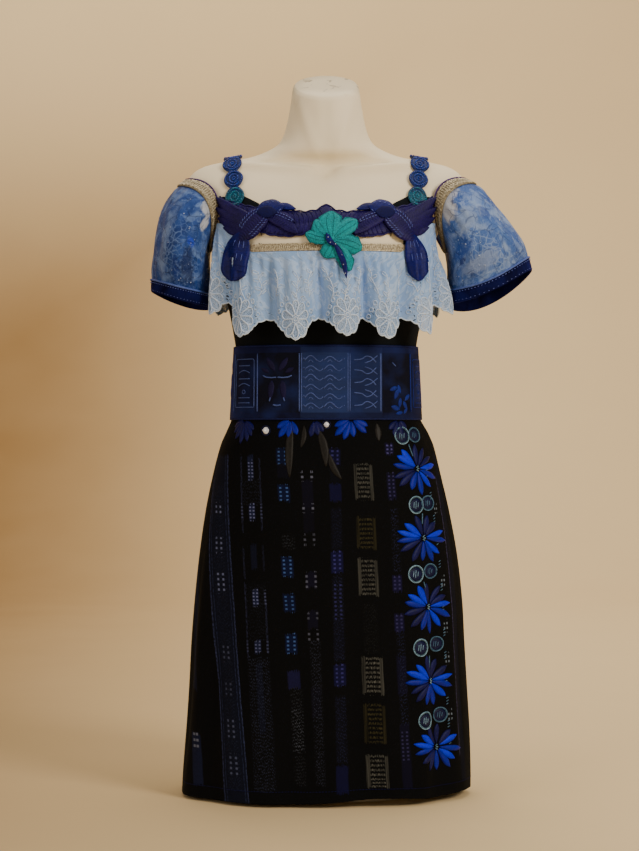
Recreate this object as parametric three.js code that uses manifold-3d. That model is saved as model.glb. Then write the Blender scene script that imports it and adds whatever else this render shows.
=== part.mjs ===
// A traditional highland costume on a limbless dress form: a black bodice and ikat skirt, a woven belt,
// puff sleeves with velvet cuffs, a lace ruffle and embroidered appliques.
// Millimetres, +Z up, the front faces -Y. The origin is the middle of the form's flat base.

import * as THREE from 'three';
import { mergeVertices } from 'three/addons/utils/BufferGeometryUtils.js';
import Module from 'manifold-3d';

const wasm = await Module();
wasm.setup();

// Driving sizes
const PIECE_GAP = 0.3; // between pieces at a seam
const LINING_GAP = 0.6; // between the form and the cloth on it
const BODICE_WALL = 1.4;
const SKIRT_WALL = 1.8;
const RUFFLE_WALL = 1.2;
const SLEEVE_WALL = 1.2;
const CUFF_WALL = 2.4;
const TRIM_WALL = 1.4;
const BELT_WALL = 2.6;

const WAIST_SEAM = 586;
const BELT_BOTTOM = 522;
const BELT_TOP = 619;
const NECKLINE_FRONT = 757;
const NECKLINE_BACK = 778;
const NECKLINE_HALF = 86; // half the width of the low part of the neckline
const TAB_TOP = 826; // top of the tabs that carry the straps
const ARMHOLE_FLOOR = 756;
const ARMHOLE_EDGE = 147; // how far from the middle the armhole is cut
const TRIM_HEIGHT = 10;

const COLOURS = {
  form: '#dccfb0',
  black: '#0d0f14',
  lace: '#c5d3e3',
  sleeve: '#5673b8',
  velvet: '#141b45',
  gold: '#9c8a63',
  belt: '#1b2350',
  purple: '#2a1a4a',
  indigo: '#1d1f66',
  teal: '#1f8c84',
  beads: '#1b4fa0',
};

// The dress form, one row a height: half width, depth to the front and to the back,
// how square the section is, and how much its plane leans up towards the back.
const FORM_ROWS = [
  { z: 0, half: 128, front: 88, back: 92, square: 2.2, lean: 0 },
  { z: 4, half: 132, front: 92, back: 96, square: 2.2, lean: 0 },
  { z: 90, half: 142, front: 100, back: 104, square: 2.2, lean: 0 },
  { z: 180, half: 152, front: 107, back: 112, square: 2.2, lean: 0 },
  { z: 268, half: 158, front: 111, back: 118, square: 2.2, lean: 0 },
  { z: 331, half: 161, front: 113, back: 121, square: 2.2, lean: 0 },
  { z: 394, half: 160, front: 112, back: 121, square: 2.2, lean: 0 },
  { z: 443, half: 152, front: 108, back: 117, square: 2.2, lean: 0 },
  { z: 485, half: 141, front: 101, back: 109, square: 2.2, lean: 0 },
  { z: 522, half: 128, front: 92, back: 96, square: 2.2, lean: 0 },
  { z: 555, half: 123, front: 87, back: 88, square: 2.2, lean: 0 },
  { z: 586, half: 122, front: 86, back: 85, square: 2.2, lean: 0 },
  { z: 619, half: 124, front: 89, back: 85, square: 2.2, lean: 0 },
  { z: 650, half: 129, front: 95, back: 87, square: 2.2, lean: 0 },
  { z: 680, half: 135, front: 104, back: 89, square: 2.2, lean: 0 },
  { z: 705, half: 140, front: 112, back: 91, square: 2.2, lean: 0 },
  { z: 726, half: 144, front: 117, back: 92, square: 2.2, lean: 0 },
  { z: 746, half: 148, front: 118, back: 93, square: 2.2, lean: 0 },
  { z: 762, half: 151, front: 115, back: 93, square: 2.2, lean: 0 },
  { z: 778, half: 156, front: 108, back: 92, square: 2.2, lean: 0 },
  { z: 794, half: 163, front: 98, back: 90, square: 2.25, lean: 0 },
  { z: 810, half: 172, front: 86, back: 86, square: 2.3, lean: 0 },
  { z: 826, half: 183, front: 74, back: 80, square: 2.3, lean: 0 },
  { z: 840, half: 192, front: 63, back: 73, square: 2.3, lean: 0 },
  { z: 852, half: 194, front: 53, back: 65, square: 2.25, lean: 0 },
  { z: 862, half: 188, front: 45, back: 58, square: 2.2, lean: 0 },
  { z: 870, half: 178, front: 39, back: 52, square: 2.1, lean: 0 },
  { z: 876, half: 163, front: 38, back: 51, square: 1.9, lean: 0 },
  { z: 881, half: 138, front: 41, back: 54, square: 1.7, lean: 0 },
  { z: 886, half: 110, front: 46, back: 57, square: 1.7, lean: 0.02 },
  { z: 893, half: 88, front: 50, back: 56, square: 1.8, lean: 0.05 },
  { z: 903, half: 69, front: 51, back: 53, square: 2, lean: 0.1 },
  { z: 916, half: 60, front: 51, back: 50, square: 2, lean: 0.18 },
  { z: 934, half: 54.5, front: 50, back: 47, square: 2, lean: 0.3 },
  { z: 960, half: 49.5, front: 48, back: 44, square: 2, lean: 0.45 },
  { z: 984, half: 46, front: 46, back: 41, square: 2, lean: 0.52 },
  { z: 988, half: 43, front: 43, back: 38, square: 2, lean: 0.52 },
];
const FORM_SIDES = 36;

// The skirt's outside, one row a height.
const SKIRT_ROWS = [
  { z: 4, left: 201, right: 199, front: 134, back: 140 },
  { z: 40, left: 199, right: 199, front: 133, back: 140 },
  { z: 90, left: 195, right: 197.5, front: 132, back: 139 },
  { z: 150, left: 191, right: 194, front: 130, back: 138 },
  { z: 210, left: 188, right: 190.5, front: 128, back: 136 },
  { z: 268, left: 183.5, right: 187.5, front: 126, back: 134 },
  { z: 331, left: 177, right: 180.5, front: 122, back: 131 },
  { z: 394, left: 168, right: 169, front: 118, back: 127 },
  { z: 443, left: 158, right: 157.5, front: 113, back: 122 },
  { z: 485, left: 147, right: 147, front: 105.5, back: 113.5 },
  { z: 503, left: 139.2, right: 139.2, front: 100.5, back: 106.5 },
  { z: 522, left: 131.4, right: 131.4, front: 95.4, back: 99.4 },
  { z: 555, left: 126, right: 126, front: 90, back: 91 },
  { z: 585, left: 124.6, right: 124.6, front: 88.6, back: 87.6 },
];
const SKIRT_SIDES = 48;
const SQUARE = 2.2;
// Soft lengthwise folds of the skirt: angle, how far each reaches out at the hem, and its half width.
const SKIRT_FOLDS = [
  { angle: 200, out: 4, spread: 9 },
  { angle: 222, out: -4, spread: 8 },
  { angle: 243, out: 4, spread: 10 },
  { angle: 262, out: -2, spread: 8 },
  { angle: 283, out: -4, spread: 9 },
  { angle: 303, out: 5, spread: 10 },
  { angle: 322, out: -4, spread: 8 },
  { angle: 340, out: 3, spread: 8 },
  { angle: 25, out: -4, spread: 9 },
  { angle: 52, out: 5, spread: 10 },
  { angle: 80, out: -4, spread: 10 },
  { angle: 108, out: 4, spread: 10 },
  { angle: 134, out: -4, spread: 9 },
  { angle: 158, out: 4, spread: 9 },
];
// How far the hem is lifted above the lowest row, by angle.
const HEM_LIFTS = [
  { angle: 0, lift: 6 },
  { angle: 60, lift: 3 },
  { angle: 120, lift: 2 },
  { angle: 180, lift: 0 },
  { angle: 230, lift: 1 },
  { angle: 265, lift: 2 },
  { angle: 290, lift: 9 },
  { angle: 318, lift: 5 },
  { angle: 340, lift: 8 },
  { angle: 360, lift: 6 },
];
const LAP_TURN = 5; // degrees that the front panel laps over the back at the wearer's left
const LAP_TOP = 490; // the lap starts below this height
const LAP_RISE = 510; // and its edge lifts off below this one
const LAP_LIFT = 14; // the lapped corner stands this much higher than the hem beside it

// The ruffle's waves round the body: where each crest is, how low its hem hangs,
// how far the crest stands out from the plain oval of the hem, and how far in the valley after it lies.
const RUFFLE_WAVES = [
  { angle: 203, hem: 666, reach: 17, inset: 2 },
  { angle: 225, hem: 631, reach: 7, inset: 12 },
  { angle: 256, hem: 627, reach: 4, inset: 12 },
  { angle: 277, hem: 634, reach: 7, inset: 13 },
  { angle: 298, hem: 628, reach: 5, inset: 12 },
  { angle: 325, hem: 637, reach: 8, inset: 3 },
  { angle: 343, hem: 664, reach: 20, inset: 6 },
  { angle: 380, hem: 668, reach: 8, inset: 4 },
  { angle: 402, hem: 642, reach: 8, inset: 8 },
  { angle: 426, hem: 632, reach: 6, inset: 12 },
  { angle: 450, hem: 636, reach: 7, inset: 12 },
  { angle: 474, hem: 630, reach: 6, inset: 12 },
  { angle: 498, hem: 640, reach: 8, inset: 8 },
  { angle: 520, hem: 668, reach: 8, inset: 6 },
];
const RUFFLE_OVAL = { middle: 3, half: 157, front: 139, back: 118 };
const VALLEY_RISE = 22; // the hem is this much higher between two crests
const RUFFLE_STEPS = 10; // columns a wave
const RUFFLE_ROWS = [0, 0.16, 0.45, 0.78, 1];
const SCALLOP = 4; // depth of the small scallops of the lace edge
const RUFFLE_TOP_FRONT = NECKLINE_FRONT - TRIM_HEIGHT - 0.8;
const RUFFLE_TOP_BACK = NECKLINE_BACK - TRIM_HEIGHT - 0.8;
const RUFFLE_SIDE_TOP = 790; // the lace rises towards the armholes
const ARMPIT_TOP = 744;

// The sleeves, from the edge over the shoulder down to the cuff's edge. Each row holds four points of a ring:
// over the arm, in front, under the arm and behind.
const RING_COLUMNS = [
  'overX', 'overZ', 'frontX', 'frontY', 'frontZ', 'underX', 'underZ', 'backX', 'backY', 'backZ',
];
const namedRing = (row) => Object.fromEntries(RING_COLUMNS.map((name, i) => [name, row[i]]));
const LEFT_SLEEVE = [
  [-196, 853.5, -152, -54, 827, -164, 760, -152, 64, 827],
  [-214, 838, -170, -74, 808, -165, 750, -170, 82, 808],
  [-230, 812, -188, -84, 780, -163, 735, -188, 88, 780],
  [-239, 775, -198, -85, 748, -162, 717, -198, 88, 748],
  [-243, 738, -200, -78, 720, -161, 704, -200, 80, 716],
  [-243, 716, -199, -70, 702, -161, 694, -199, 71, 701],
  [-243.5, 699, -199, -69, 683, -161, 676, -199, 70, 681],
].map(namedRing);
const RIGHT_SLEEVE = [
  [196, 854.5, 152, -54, 830, 166, 760, 153, 64, 829],
  [219, 842, 171, -75, 812, 170, 750, 172, 83, 812],
  [241, 816, 194, -86, 786, 170, 737, 194, 89, 784],
  [261, 790, 211, -88, 757, 170, 722, 213, 90, 752],
  [278, 765, 218, -82, 730, 169, 709, 221, 84, 718],
  [283, 747, 218, -74, 710, 168, 698, 226, 76, 702],
  [288, 729, 216, -73, 691, 168, 679, 230, 75, 683],
].map(namedRing);
const SLEEVE_SIDES = 24;

// The beaded straps: the middle of the chain up the front and down the back.
const STRAP_FRONT = { x: 121, z: 818 };
const STRAP_CREST = 132;
const STRAP_BACK = { x: 116, z: 806 };
const STRAP_LINKS = 7;
const STRAP_STEPS = 5; // sections a link
const STRAP_WIDE = 13; // half width at a link's middle
const STRAP_NARROW = 5;
const STRAP_THICK = 4.2;

const RADIANS = Math.PI / 180;

// A smooth curve through one column of a table, by another column.
function column(rows, name, by = 'z') {
  const slopeAt = (i) => {
    const a = rows[Math.max(i - 1, 0)];
    const b = rows[Math.min(i + 1, rows.length - 1)];
    return (b[name] - a[name]) / (b[by] - a[by]);
  };
  return (at) => {
    let i = 0;
    while (i < rows.length - 2 && at > rows[i + 1][by]) i++;
    const low = rows[i];
    const high = rows[i + 1];
    const span = high[by] - low[by];
    const s = Math.min(Math.max((at - low[by]) / span, 0), 1);
    const rise = s * s * (3 - 2 * s);
    const leave = s * (1 - s) * (1 - s) * span;
    const arrive = -s * s * (1 - s) * span;
    return low[name] + (high[name] - low[name]) * rise + slopeAt(i) * leave + slopeAt(i + 1) * arrive;
  };
}

const form = {
  half: column(FORM_ROWS, 'half'),
  front: column(FORM_ROWS, 'front'),
  back: column(FORM_ROWS, 'back'),
  square: column(FORM_ROWS, 'square'),
  lean: column(FORM_ROWS, 'lean'),
};
const skirt = {
  left: column(SKIRT_ROWS, 'left'),
  right: column(SKIRT_ROWS, 'right'),
  front: column(SKIRT_ROWS, 'front'),
  back: column(SKIRT_ROWS, 'back'),
};
const hemLift = column(HEM_LIFTS, 'lift', 'angle');

// A cosine raised to the power that makes an oval squarer or rounder.
function power(value, square) {
  return Math.sign(value) * Math.abs(value) ** (2 / square);
}

// A point of an oval: angle 0 is the viewer's right, 90 the back, 180 the left and 270 the front.
function ovalPoint(angle, right, left, front, back, square) {
  const c = power(Math.cos(angle * RADIANS), square);
  const s = power(Math.sin(angle * RADIANS), square);
  return { x: c * (c > 0 ? right : left), y: s * (s > 0 ? back : front) };
}

// A point on the form's skin, or that far outside it.
function formPoint(z, angle, out = 0) {
  const half = form.half(z) + out;
  const p = ovalPoint(angle, half, half, form.front(z) + out, form.back(z) + out, form.square(z));
  return new THREE.Vector3(p.x, p.y, z + form.lean(z) * p.y);
}

// How far in front of the middle plane the form's skin lies at a place seen from the front.
function formDepth(x, z) {
  const square = form.square(z);
  const across = Math.min(Math.abs(x) / form.half(z), 0.999);
  return form.front(z) * (1 - across ** square) ** (1 / square);
}

function steps(from, to, count) {
  return Array.from({ length: count + 1 }, (_, i) => from + ((to - from) * i) / count);
}

// Flat triangles to a geometry with shared points.
function meshFrom(points, faces) {
  const geometry = new THREE.BufferGeometry();
  const numbers = points.flatMap((p) => [p.x, p.y, p.z]);
  geometry.setAttribute('position', new THREE.Float32BufferAttribute(numbers, 3));
  geometry.setIndex(faces);
  return geometry;
}

function volume(points, faces) {
  let total = 0;
  const cross = new THREE.Vector3();
  for (let i = 0; i < faces.length; i += 3) {
    cross.crossVectors(points[faces[i + 1]], points[faces[i + 2]]);
    total += points[faces[i]].dot(cross);
  }
  return total / 6;
}

// Turns the faces out if they came out facing in.
function closedMesh(points, faces) {
  if (volume(points, faces) < 0) {
    for (let i = 0; i < faces.length; i += 3) [faces[i + 1], faces[i + 2]] = [faces[i + 2], faces[i + 1]];
  }
  return meshFrom(points, faces);
}

// A closed body through rings of equal count, with a flat fan over each end.
function loft(rings) {
  const count = rings[0].length;
  const points = rings.flat();
  const faces = [];
  for (let r = 0; r < rings.length - 1; r++) {
    for (let i = 0; i < count; i++) {
      const a = r * count + i;
      const b = r * count + ((i + 1) % count);
      faces.push(a, b, b + count, a, b + count, a + count);
    }
  }
  const last = (rings.length - 1) * count;
  for (let i = 1; i < count - 1; i++) {
    faces.push(0, i + 1, i);
    faces.push(last, last + i, last + i + 1);
  }
  return closedMesh(points, faces);
}

// The direction square to a grid of points, facing away from the middle of each ring.
function gridNormals(rings, closed) {
  const rows = rings.length;
  const count = rings[0].length;
  const normals = rings.map((ring) => ring.map(() => new THREE.Vector3()));
  let facing = 0;
  for (let r = 0; r < rows; r++) {
    const middle = rings[r].reduce((sum, p) => sum.add(p), new THREE.Vector3()).divideScalar(count);
    for (let i = 0; i < count; i++) {
      const before = closed ? rings[r][(i + count - 1) % count] : rings[r][Math.max(i - 1, 0)];
      const after = closed ? rings[r][(i + 1) % count] : rings[r][Math.min(i + 1, count - 1)];
      const along = after.clone().sub(before);
      const up = rings[Math.min(r + 1, rows - 1)][i].clone().sub(rings[Math.max(r - 1, 0)][i]);
      normals[r][i].crossVectors(along, up).normalize();
      facing += normals[r][i].dot(rings[r][i].clone().sub(middle));
    }
  }
  if (facing < 0) normals.forEach((ring) => ring.forEach((n) => n.negate()));
  return normals;
}

// A cloth wall: its outside lies `out` beyond the given rings and its inside `thick` further in.
function wall(rings, thick, out = 0, closed = true, normals = gridNormals(rings, closed)) {
  const rows = rings.length;
  const count = rings[0].length;
  const layer = (offset) => rings.flatMap((ring, r) => ring.map(
    (p, i) => p.clone().addScaledVector(normals[r][i], offset),
  ));
  const points = [...layer(out), ...layer(out - thick)];
  const inside = rows * count;
  const faces = [];
  const quad = (a, b, c, d) => faces.push(a, b, c, a, c, d);
  const columns = closed ? count : count - 1;
  for (let i = 0; i < columns; i++) {
    const j = (i + 1) % count;
    for (let r = 0; r < rows - 1; r++) {
      const low = r * count;
      const high = low + count;
      quad(low + i, low + j, high + j, high + i);
      quad(inside + low + j, inside + low + i, inside + high + i, inside + high + j);
    }
    const top = (rows - 1) * count;
    quad(top + i, top + j, inside + top + j, inside + top + i);
    quad(j, i, inside + i, inside + j);
  }
  if (!closed) {
    for (let r = 0; r < rows - 1; r++) {
      const low = r * count;
      const high = low + count;
      quad(low, high, inside + high, inside + low);
      quad(high + count - 1, low + count - 1, inside + low + count - 1, inside + high + count - 1);
    }
  }
  return closedMesh(points, faces);
}

function solid(geometry) {
  const bare = geometry.clone();
  bare.deleteAttribute('normal');
  bare.deleteAttribute('uv');
  const merged = mergeVertices(bare, 1e-4);
  return new wasm.Manifold(new wasm.Mesh({
    numProp: 3,
    vertProperties: new Float32Array(merged.attributes.position.array),
    triVerts: new Uint32Array(merged.index.array),
  }));
}

function geometryOf(manifold) {
  const mesh = manifold.getMesh();
  const geometry = new THREE.BufferGeometry();
  geometry.setAttribute('position', new THREE.BufferAttribute(new Float32Array(mesh.vertProperties), 3));
  geometry.setIndex(new THREE.BufferAttribute(new Uint32Array(mesh.triVerts), 1));
  return geometry;
}

function union(geometries) {
  return geometryOf(geometries.map(solid).reduce((sum, next) => sum.add(next)));
}

function box(low, high) {
  const geometry = new THREE.BoxGeometry(high[0] - low[0], high[1] - low[1], high[2] - low[2]);
  geometry.translate((low[0] + high[0]) / 2, (low[1] + high[1]) / 2, (low[2] + high[2]) / 2);
  return solid(geometry);
}

// A prism of an outline seen from the front, between two depths.
function frontPrism(outline, from, to) {
  const shape = new THREE.Shape(outline);
  const geometry = new THREE.ExtrudeGeometry(shape, { depth: to - from, bevelEnabled: false });
  geometry.rotateX(Math.PI / 2);
  geometry.translate(0, to, 0);
  return solid(geometry);
}

// The limbless form under the clothes.
function dressForm() {
  const angles = steps(0, 360, FORM_SIDES).slice(0, -1);
  return loft(FORM_ROWS.map((row) => angles.map((angle) => formPoint(row.z, angle))));
}

// A shell on the form between two heights, following the form's own rows.
function formShell(bottom, top, inner, outer) {
  const inside = FORM_ROWS.map((row) => row.z).filter((z) => z > bottom + 1 && z < top - 1);
  const heights = [bottom, ...inside, top];
  const angles = steps(0, 360, FORM_SIDES).slice(0, -1);
  const outside = loft(heights.map((z) => angles.map((angle) => formPoint(z, angle, outer))));
  const overrun = 2;
  const cutHeights = [bottom - overrun, ...heights.slice(1, -1), top + overrun];
  const hollow = loft(cutHeights.map((z) => angles.map((angle) => formPoint(z, angle, inner))));
  return solid(outside).subtract(solid(hollow));
}

const BODICE_OUT = LINING_GAP + BODICE_WALL;
const FAR = 400;

// The neckline's outline above which the bodice is cut away between its tabs.
function necklineCut(height) {
  const corner = 14;
  return [
    [-NECKLINE_HALF, height + corner],
    [-NECKLINE_HALF + corner, height],
    [NECKLINE_HALF - corner, height],
    [NECKLINE_HALF, height + corner],
    [NECKLINE_HALF + 6, TAB_TOP + 9],
    [-NECKLINE_HALF - 6, TAB_TOP + 9],
  ].map(([x, z]) => new THREE.Vector2(x, z));
}

// The bodice is one tube on the form, cut at the neckline and armholes and parted at its side seams.
function bodiceHalves() {
  const tube = formShell(WAIST_SEAM + PIECE_GAP, TAB_TOP, LINING_GAP, BODICE_OUT);
  const armholes = [-1, 1].map((side) => {
    const near = side * ARMHOLE_EDGE;
    const low = [Math.min(near, side * FAR), -FAR, ARMHOLE_FLOOR];
    const high = [Math.max(near, side * FAR), FAR, FAR * 3];
    return box(low, high);
  });
  const cut = armholes.reduce((rest, hole) => rest.subtract(hole), tube)
    .subtract(frontPrism(necklineCut(NECKLINE_FRONT), -FAR, 0))
    .subtract(frontPrism(necklineCut(NECKLINE_BACK), 0, FAR));
  const front = cut.intersect(box([-FAR, -FAR, 0], [FAR, -PIECE_GAP / 2, FAR * 3]));
  const back = cut.intersect(box([-FAR, PIECE_GAP / 2, 0], [FAR, FAR, FAR * 3]));
  return { front: geometryOf(front), back: geometryOf(back) };
}

// The gold trim along the top edge of the bodice.
function neckTrim(height, from, to) {
  const inner = BODICE_OUT + PIECE_GAP;
  const band = formShell(height - TRIM_HEIGHT, height, inner, inner + TRIM_WALL);
  const reach = NECKLINE_HALF + 8;
  return geometryOf(band.intersect(box([-reach, from, 0], [reach, to, FAR * 3])));
}

// How far the lengthwise folds move the skirt out at an angle.
function skirtFold(angle) {
  return SKIRT_FOLDS.reduce((sum, fold) => {
    const away = ((angle - fold.angle + 540) % 360) - 180;
    return sum + fold.out * Math.exp(-((away / fold.spread) ** 2));
  }, 0);
}

function skirtPoint(z, angle, out = 0) {
  const looseness = Math.max(0, (430 - z) / 430);
  const extra = out + skirtFold((angle + 360) % 360) * looseness;
  const sizes = [skirt.right, skirt.left, skirt.front, skirt.back];
  const [right, left, front, back] = sizes.map((size) => size(z) + extra);
  const p = ovalPoint(angle, right, left, front, back, SQUARE);
  const height = z < 40 ? z + hemLift((angle + 360) % 360) * (1 - z / 40) : z;
  return new THREE.Vector3(p.x, p.y, height);
}

// The skirt's panels stop this many degrees short of a side seam.
const SEAM_TURN = 0.1;

// The front panel runs on past the seam on the viewer's right, over the back panel, below the hip.
function skirtFront() {
  const rings = SKIRT_ROWS.map((row) => {
    const end = row.z < LAP_TOP ? 360 + LAP_TURN : 360 - SEAM_TURN;
    const lift = row.z < LAP_RISE ? SKIRT_WALL + 4 * PIECE_GAP : 0;
    const angles = steps(180 + SEAM_TURN, end, SKIRT_SIDES / 2);
    return angles.map((angle) => {
      const p = skirtPoint(row.z, angle, lift * THREE.MathUtils.smoothstep(angle, 342, 354));
      if (angle > 360 && row.z < 10) p.z += LAP_LIFT;
      return p;
    });
  });
  return wall(rings, SKIRT_WALL, 0, false);
}

function skirtBack() {
  const angles = steps(SEAM_TURN, 180 - SEAM_TURN, SKIRT_SIDES / 2);
  const rings = SKIRT_ROWS.map((row) => angles.map((angle) => skirtPoint(row.z, angle)));
  return wall(rings, SKIRT_WALL, 0, false);
}

// The woven belt: a straight band, a little wider below.
function belt() {
  const out = SKIRT_WALL + LINING_GAP + PIECE_GAP + BELT_WALL;
  const angles = steps(0, 360, SKIRT_SIDES).slice(0, -1);
  const ring = (z, half, front, back) => angles.map((angle) => {
    const p = ovalPoint(angle, half, half, front, back, SQUARE);
    return new THREE.Vector3(p.x, p.y, z);
  });
  const flare = 1.2; // the belt stands off this much more at its lower edge
  const sizes = [form.half, form.front, form.back];
  const lowest = sizes.map((size) => size(BELT_BOTTOM) + out + flare);
  const highest = sizes.map((size) => size(BELT_TOP) + out);
  const rings = [0, 1].map((v) => {
    const size = lowest.map((low, i) => low + (highest[i] - low) * v);
    return ring(BELT_BOTTOM + (BELT_TOP - BELT_BOTTOM) * v, ...size);
  });
  return wall(rings, BELT_WALL);
}

// The ruffle is worked out by waves: u counts them from the first crest, v runs from the top edge to the hem.
function waveAt(u) {
  const count = RUFFLE_WAVES.length;
  const i = ((Math.floor(u) % count) + count) % count;
  const here = RUFFLE_WAVES[i];
  const next = RUFFLE_WAVES[(i + 1) % count];
  const s = u - Math.floor(u);
  const nextAngle = i + 1 < count ? next.angle : next.angle + 360;
  const mix = (a, b) => a + (b - a) * (s * s * (3 - 2 * s));
  return {
    angle: here.angle + (nextAngle - here.angle) * s,
    crest: 0.5 + 0.5 * Math.cos(2 * Math.PI * s),
    hem: mix(here.hem, next.hem),
    reach: mix(here.reach, next.reach),
    inset: here.inset,
  };
}

function ruffleTop(x, isFront) {
  const middle = isFront ? RUFFLE_TOP_FRONT : RUFFLE_TOP_BACK;
  const side = THREE.MathUtils.smoothstep(Math.abs(x), 100, 138);
  const armpit = THREE.MathUtils.smoothstep(Math.abs(x), 140, 150);
  const raised = middle + (RUFFLE_SIDE_TOP - middle) * side;
  return raised + (ARMPIT_TOP - raised) * armpit;
}

function rufflePoint(u, v) {
  const wave = waveAt(u);
  const angle = wave.angle % 360;
  const isFront = angle > 180;
  const sewn = BODICE_OUT + PIECE_GAP + RUFFLE_WALL + 0.5;
  const guess = formPoint(NECKLINE_FRONT, angle, sewn);
  const topZ = ruffleTop(guess.x, isFront);
  const top = formPoint(topZ, angle, sewn);
  const out = wave.reach * wave.crest - wave.inset * (1 - wave.crest);
  const side = RUFFLE_OVAL.half + out;
  const hem = ovalPoint(angle, side, side, RUFFLE_OVAL.front + out, RUFFLE_OVAL.back + out, SQUARE);
  const scallop = SCALLOP * Math.abs(Math.sin(1.5 * Math.PI * (u - Math.floor(u) + 1 / 3)));
  const hemZ = wave.hem + VALLEY_RISE * (1 - wave.crest) - scallop + SCALLOP;
  const spread = 1 - (1 - v) ** 2.2;
  return new THREE.Vector3(
    top.x + (hem.x + RUFFLE_OVAL.middle - top.x) * spread,
    top.y + (hem.y - top.y) * spread,
    top.z + (hemZ - top.z) * v,
  );
}

// The front half of the ruffle runs from under one arm to under the other.
const FRONT_WAVES = [-0.5 + 0.006, 6.5 - 0.006];
const BACK_WAVES = [6.5 + 0.006, 13.5 - 0.006];

function ruffleHalf([from, to]) {
  const columns = steps(from, to, Math.round(to - from) * RUFFLE_STEPS);
  const rings = RUFFLE_ROWS.map((v) => columns.map((u) => rufflePoint(u, v)));
  return wall(rings.reverse(), RUFFLE_WALL, 0, false);
}

// How far in front of the middle plane the ruffle lies at a place seen from the front.
function ruffleDepth(x, z) {
  const columns = steps(FRONT_WAVES[0], FRONT_WAVES[1], 140);
  let depth = 0;
  let before = null;
  for (const u of columns) {
    const top = rufflePoint(u, 0).z;
    const hem = rufflePoint(u, 1).z;
    const v = (top - z) / (top - hem);
    const here = v >= -0.02 && v <= 1 ? rufflePoint(u, Math.max(v, 0)) : null;
    if (here && before && (here.x - x) * (before.x - x) <= 0) depth = Math.max(depth, -here.y, -before.y);
    before = here;
  }
  return depth;
}

// A ring of a sleeve through its four named points, at a place v counted in table rows.
function sleeveRings(table, places, sides = SLEEVE_SIDES) {
  const rows = table.map((row, i) => ({ ...row, row: i }));
  const at = (name) => column(rows, name, 'row');
  const curves = {};
  Object.keys(table[0]).forEach((name) => { curves[name] = at(name); });
  return places.map((v) => {
    const c = (name) => curves[name](v);
    const over = new THREE.Vector3(c('overX'), 3, c('overZ'));
    const front = new THREE.Vector3(c('frontX'), c('frontY'), c('frontZ'));
    const under = new THREE.Vector3(c('underX'), 3, c('underZ'));
    const back = new THREE.Vector3(c('backX'), c('backY'), c('backZ'));
    const middle = over.clone().add(front).add(under).add(back).divideScalar(4);
    const long = over.clone().sub(under).divideScalar(2);
    const wide = front.clone().sub(back).divideScalar(2);
    const bow = over.clone().add(under).sub(front).sub(back).divideScalar(4);
    return steps(0, 360, sides).slice(0, -1).map((turn) => middle.clone()
      .addScaledVector(long, Math.cos(turn * RADIANS))
      .addScaledVector(wide, Math.sin(turn * RADIANS))
      .addScaledVector(bow, Math.cos(2 * turn * RADIANS)));
  });
}

const CUFF_ROW = 5;
const SLEEVE_PLACES = [0, 0.31, 0.62, 1.1, 1.8, 2.6, 3.6, CUFF_ROW];
const TRIM_PLACES = 3; // the gold trim covers the first places

function sleeve(table) {
  return wall(sleeveRings(table, SLEEVE_PLACES), SLEEVE_WALL);
}

function cuff(table) {
  const start = CUFF_ROW + (PIECE_GAP + 0.05) / 17;
  return wall(sleeveRings(table, [start, 5.5, 6]), CUFF_WALL, 0.8);
}

function sleeveTrim(table) {
  const rings = sleeveRings(table, SLEEVE_PLACES);
  const normals = gridNormals(rings, true).slice(0, TRIM_PLACES);
  return wall(rings.slice(0, TRIM_PLACES), TRIM_WALL, 2 * PIECE_GAP + TRIM_WALL, true, normals);
}

// Where the form's skin lies below a point, looking along a direction.
function dropToForm(start, direction) {
  const isInside = (p) => {
    const z = p.z - form.lean(p.z) * p.y;
    const square = form.square(z);
    const depth = p.y > 0 ? form.back(z) : form.front(z);
    return (Math.abs(p.x) / form.half(z)) ** square + (Math.abs(p.y) / depth) ** square < 1;
  };
  let far = 0;
  while (!isInside(start.clone().addScaledVector(direction, far)) && far < 80) far += 1;
  let near = far - 1;
  for (let i = 0; i < 18; i++) {
    const middle = (near + far) / 2;
    if (isInside(start.clone().addScaledVector(direction, middle))) far = middle;
    else near = middle;
  }
  return start.clone().addScaledVector(direction, far);
}

// The line of a strap over the shoulder, found by turning about a point inside the shoulder.
function strapLine(side) {
  const hub = new THREE.Vector3(0, 6, 838);
  const line = steps(-62, 198, 40).map((turn) => {
    const t = (turn + 62) / 260;
    const x = t < 0.5
      ? THREE.MathUtils.lerp(STRAP_FRONT.x, STRAP_CREST, t * 2)
      : THREE.MathUtils.lerp(STRAP_CREST, STRAP_BACK.x, t * 2 - 1);
    const out = new THREE.Vector3(0, -Math.cos(turn * RADIANS), Math.sin(turn * RADIANS));
    const start = hub.clone().addScaledVector(out, 120);
    start.x = side * x;
    return { point: dropToForm(start, out.clone().negate()), out };
  });
  const lowest = (point) => (point.y < hub.y ? STRAP_FRONT.z : STRAP_BACK.z) - 10;
  return line.filter(({ point }) => point.z > lowest(point));
}

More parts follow.
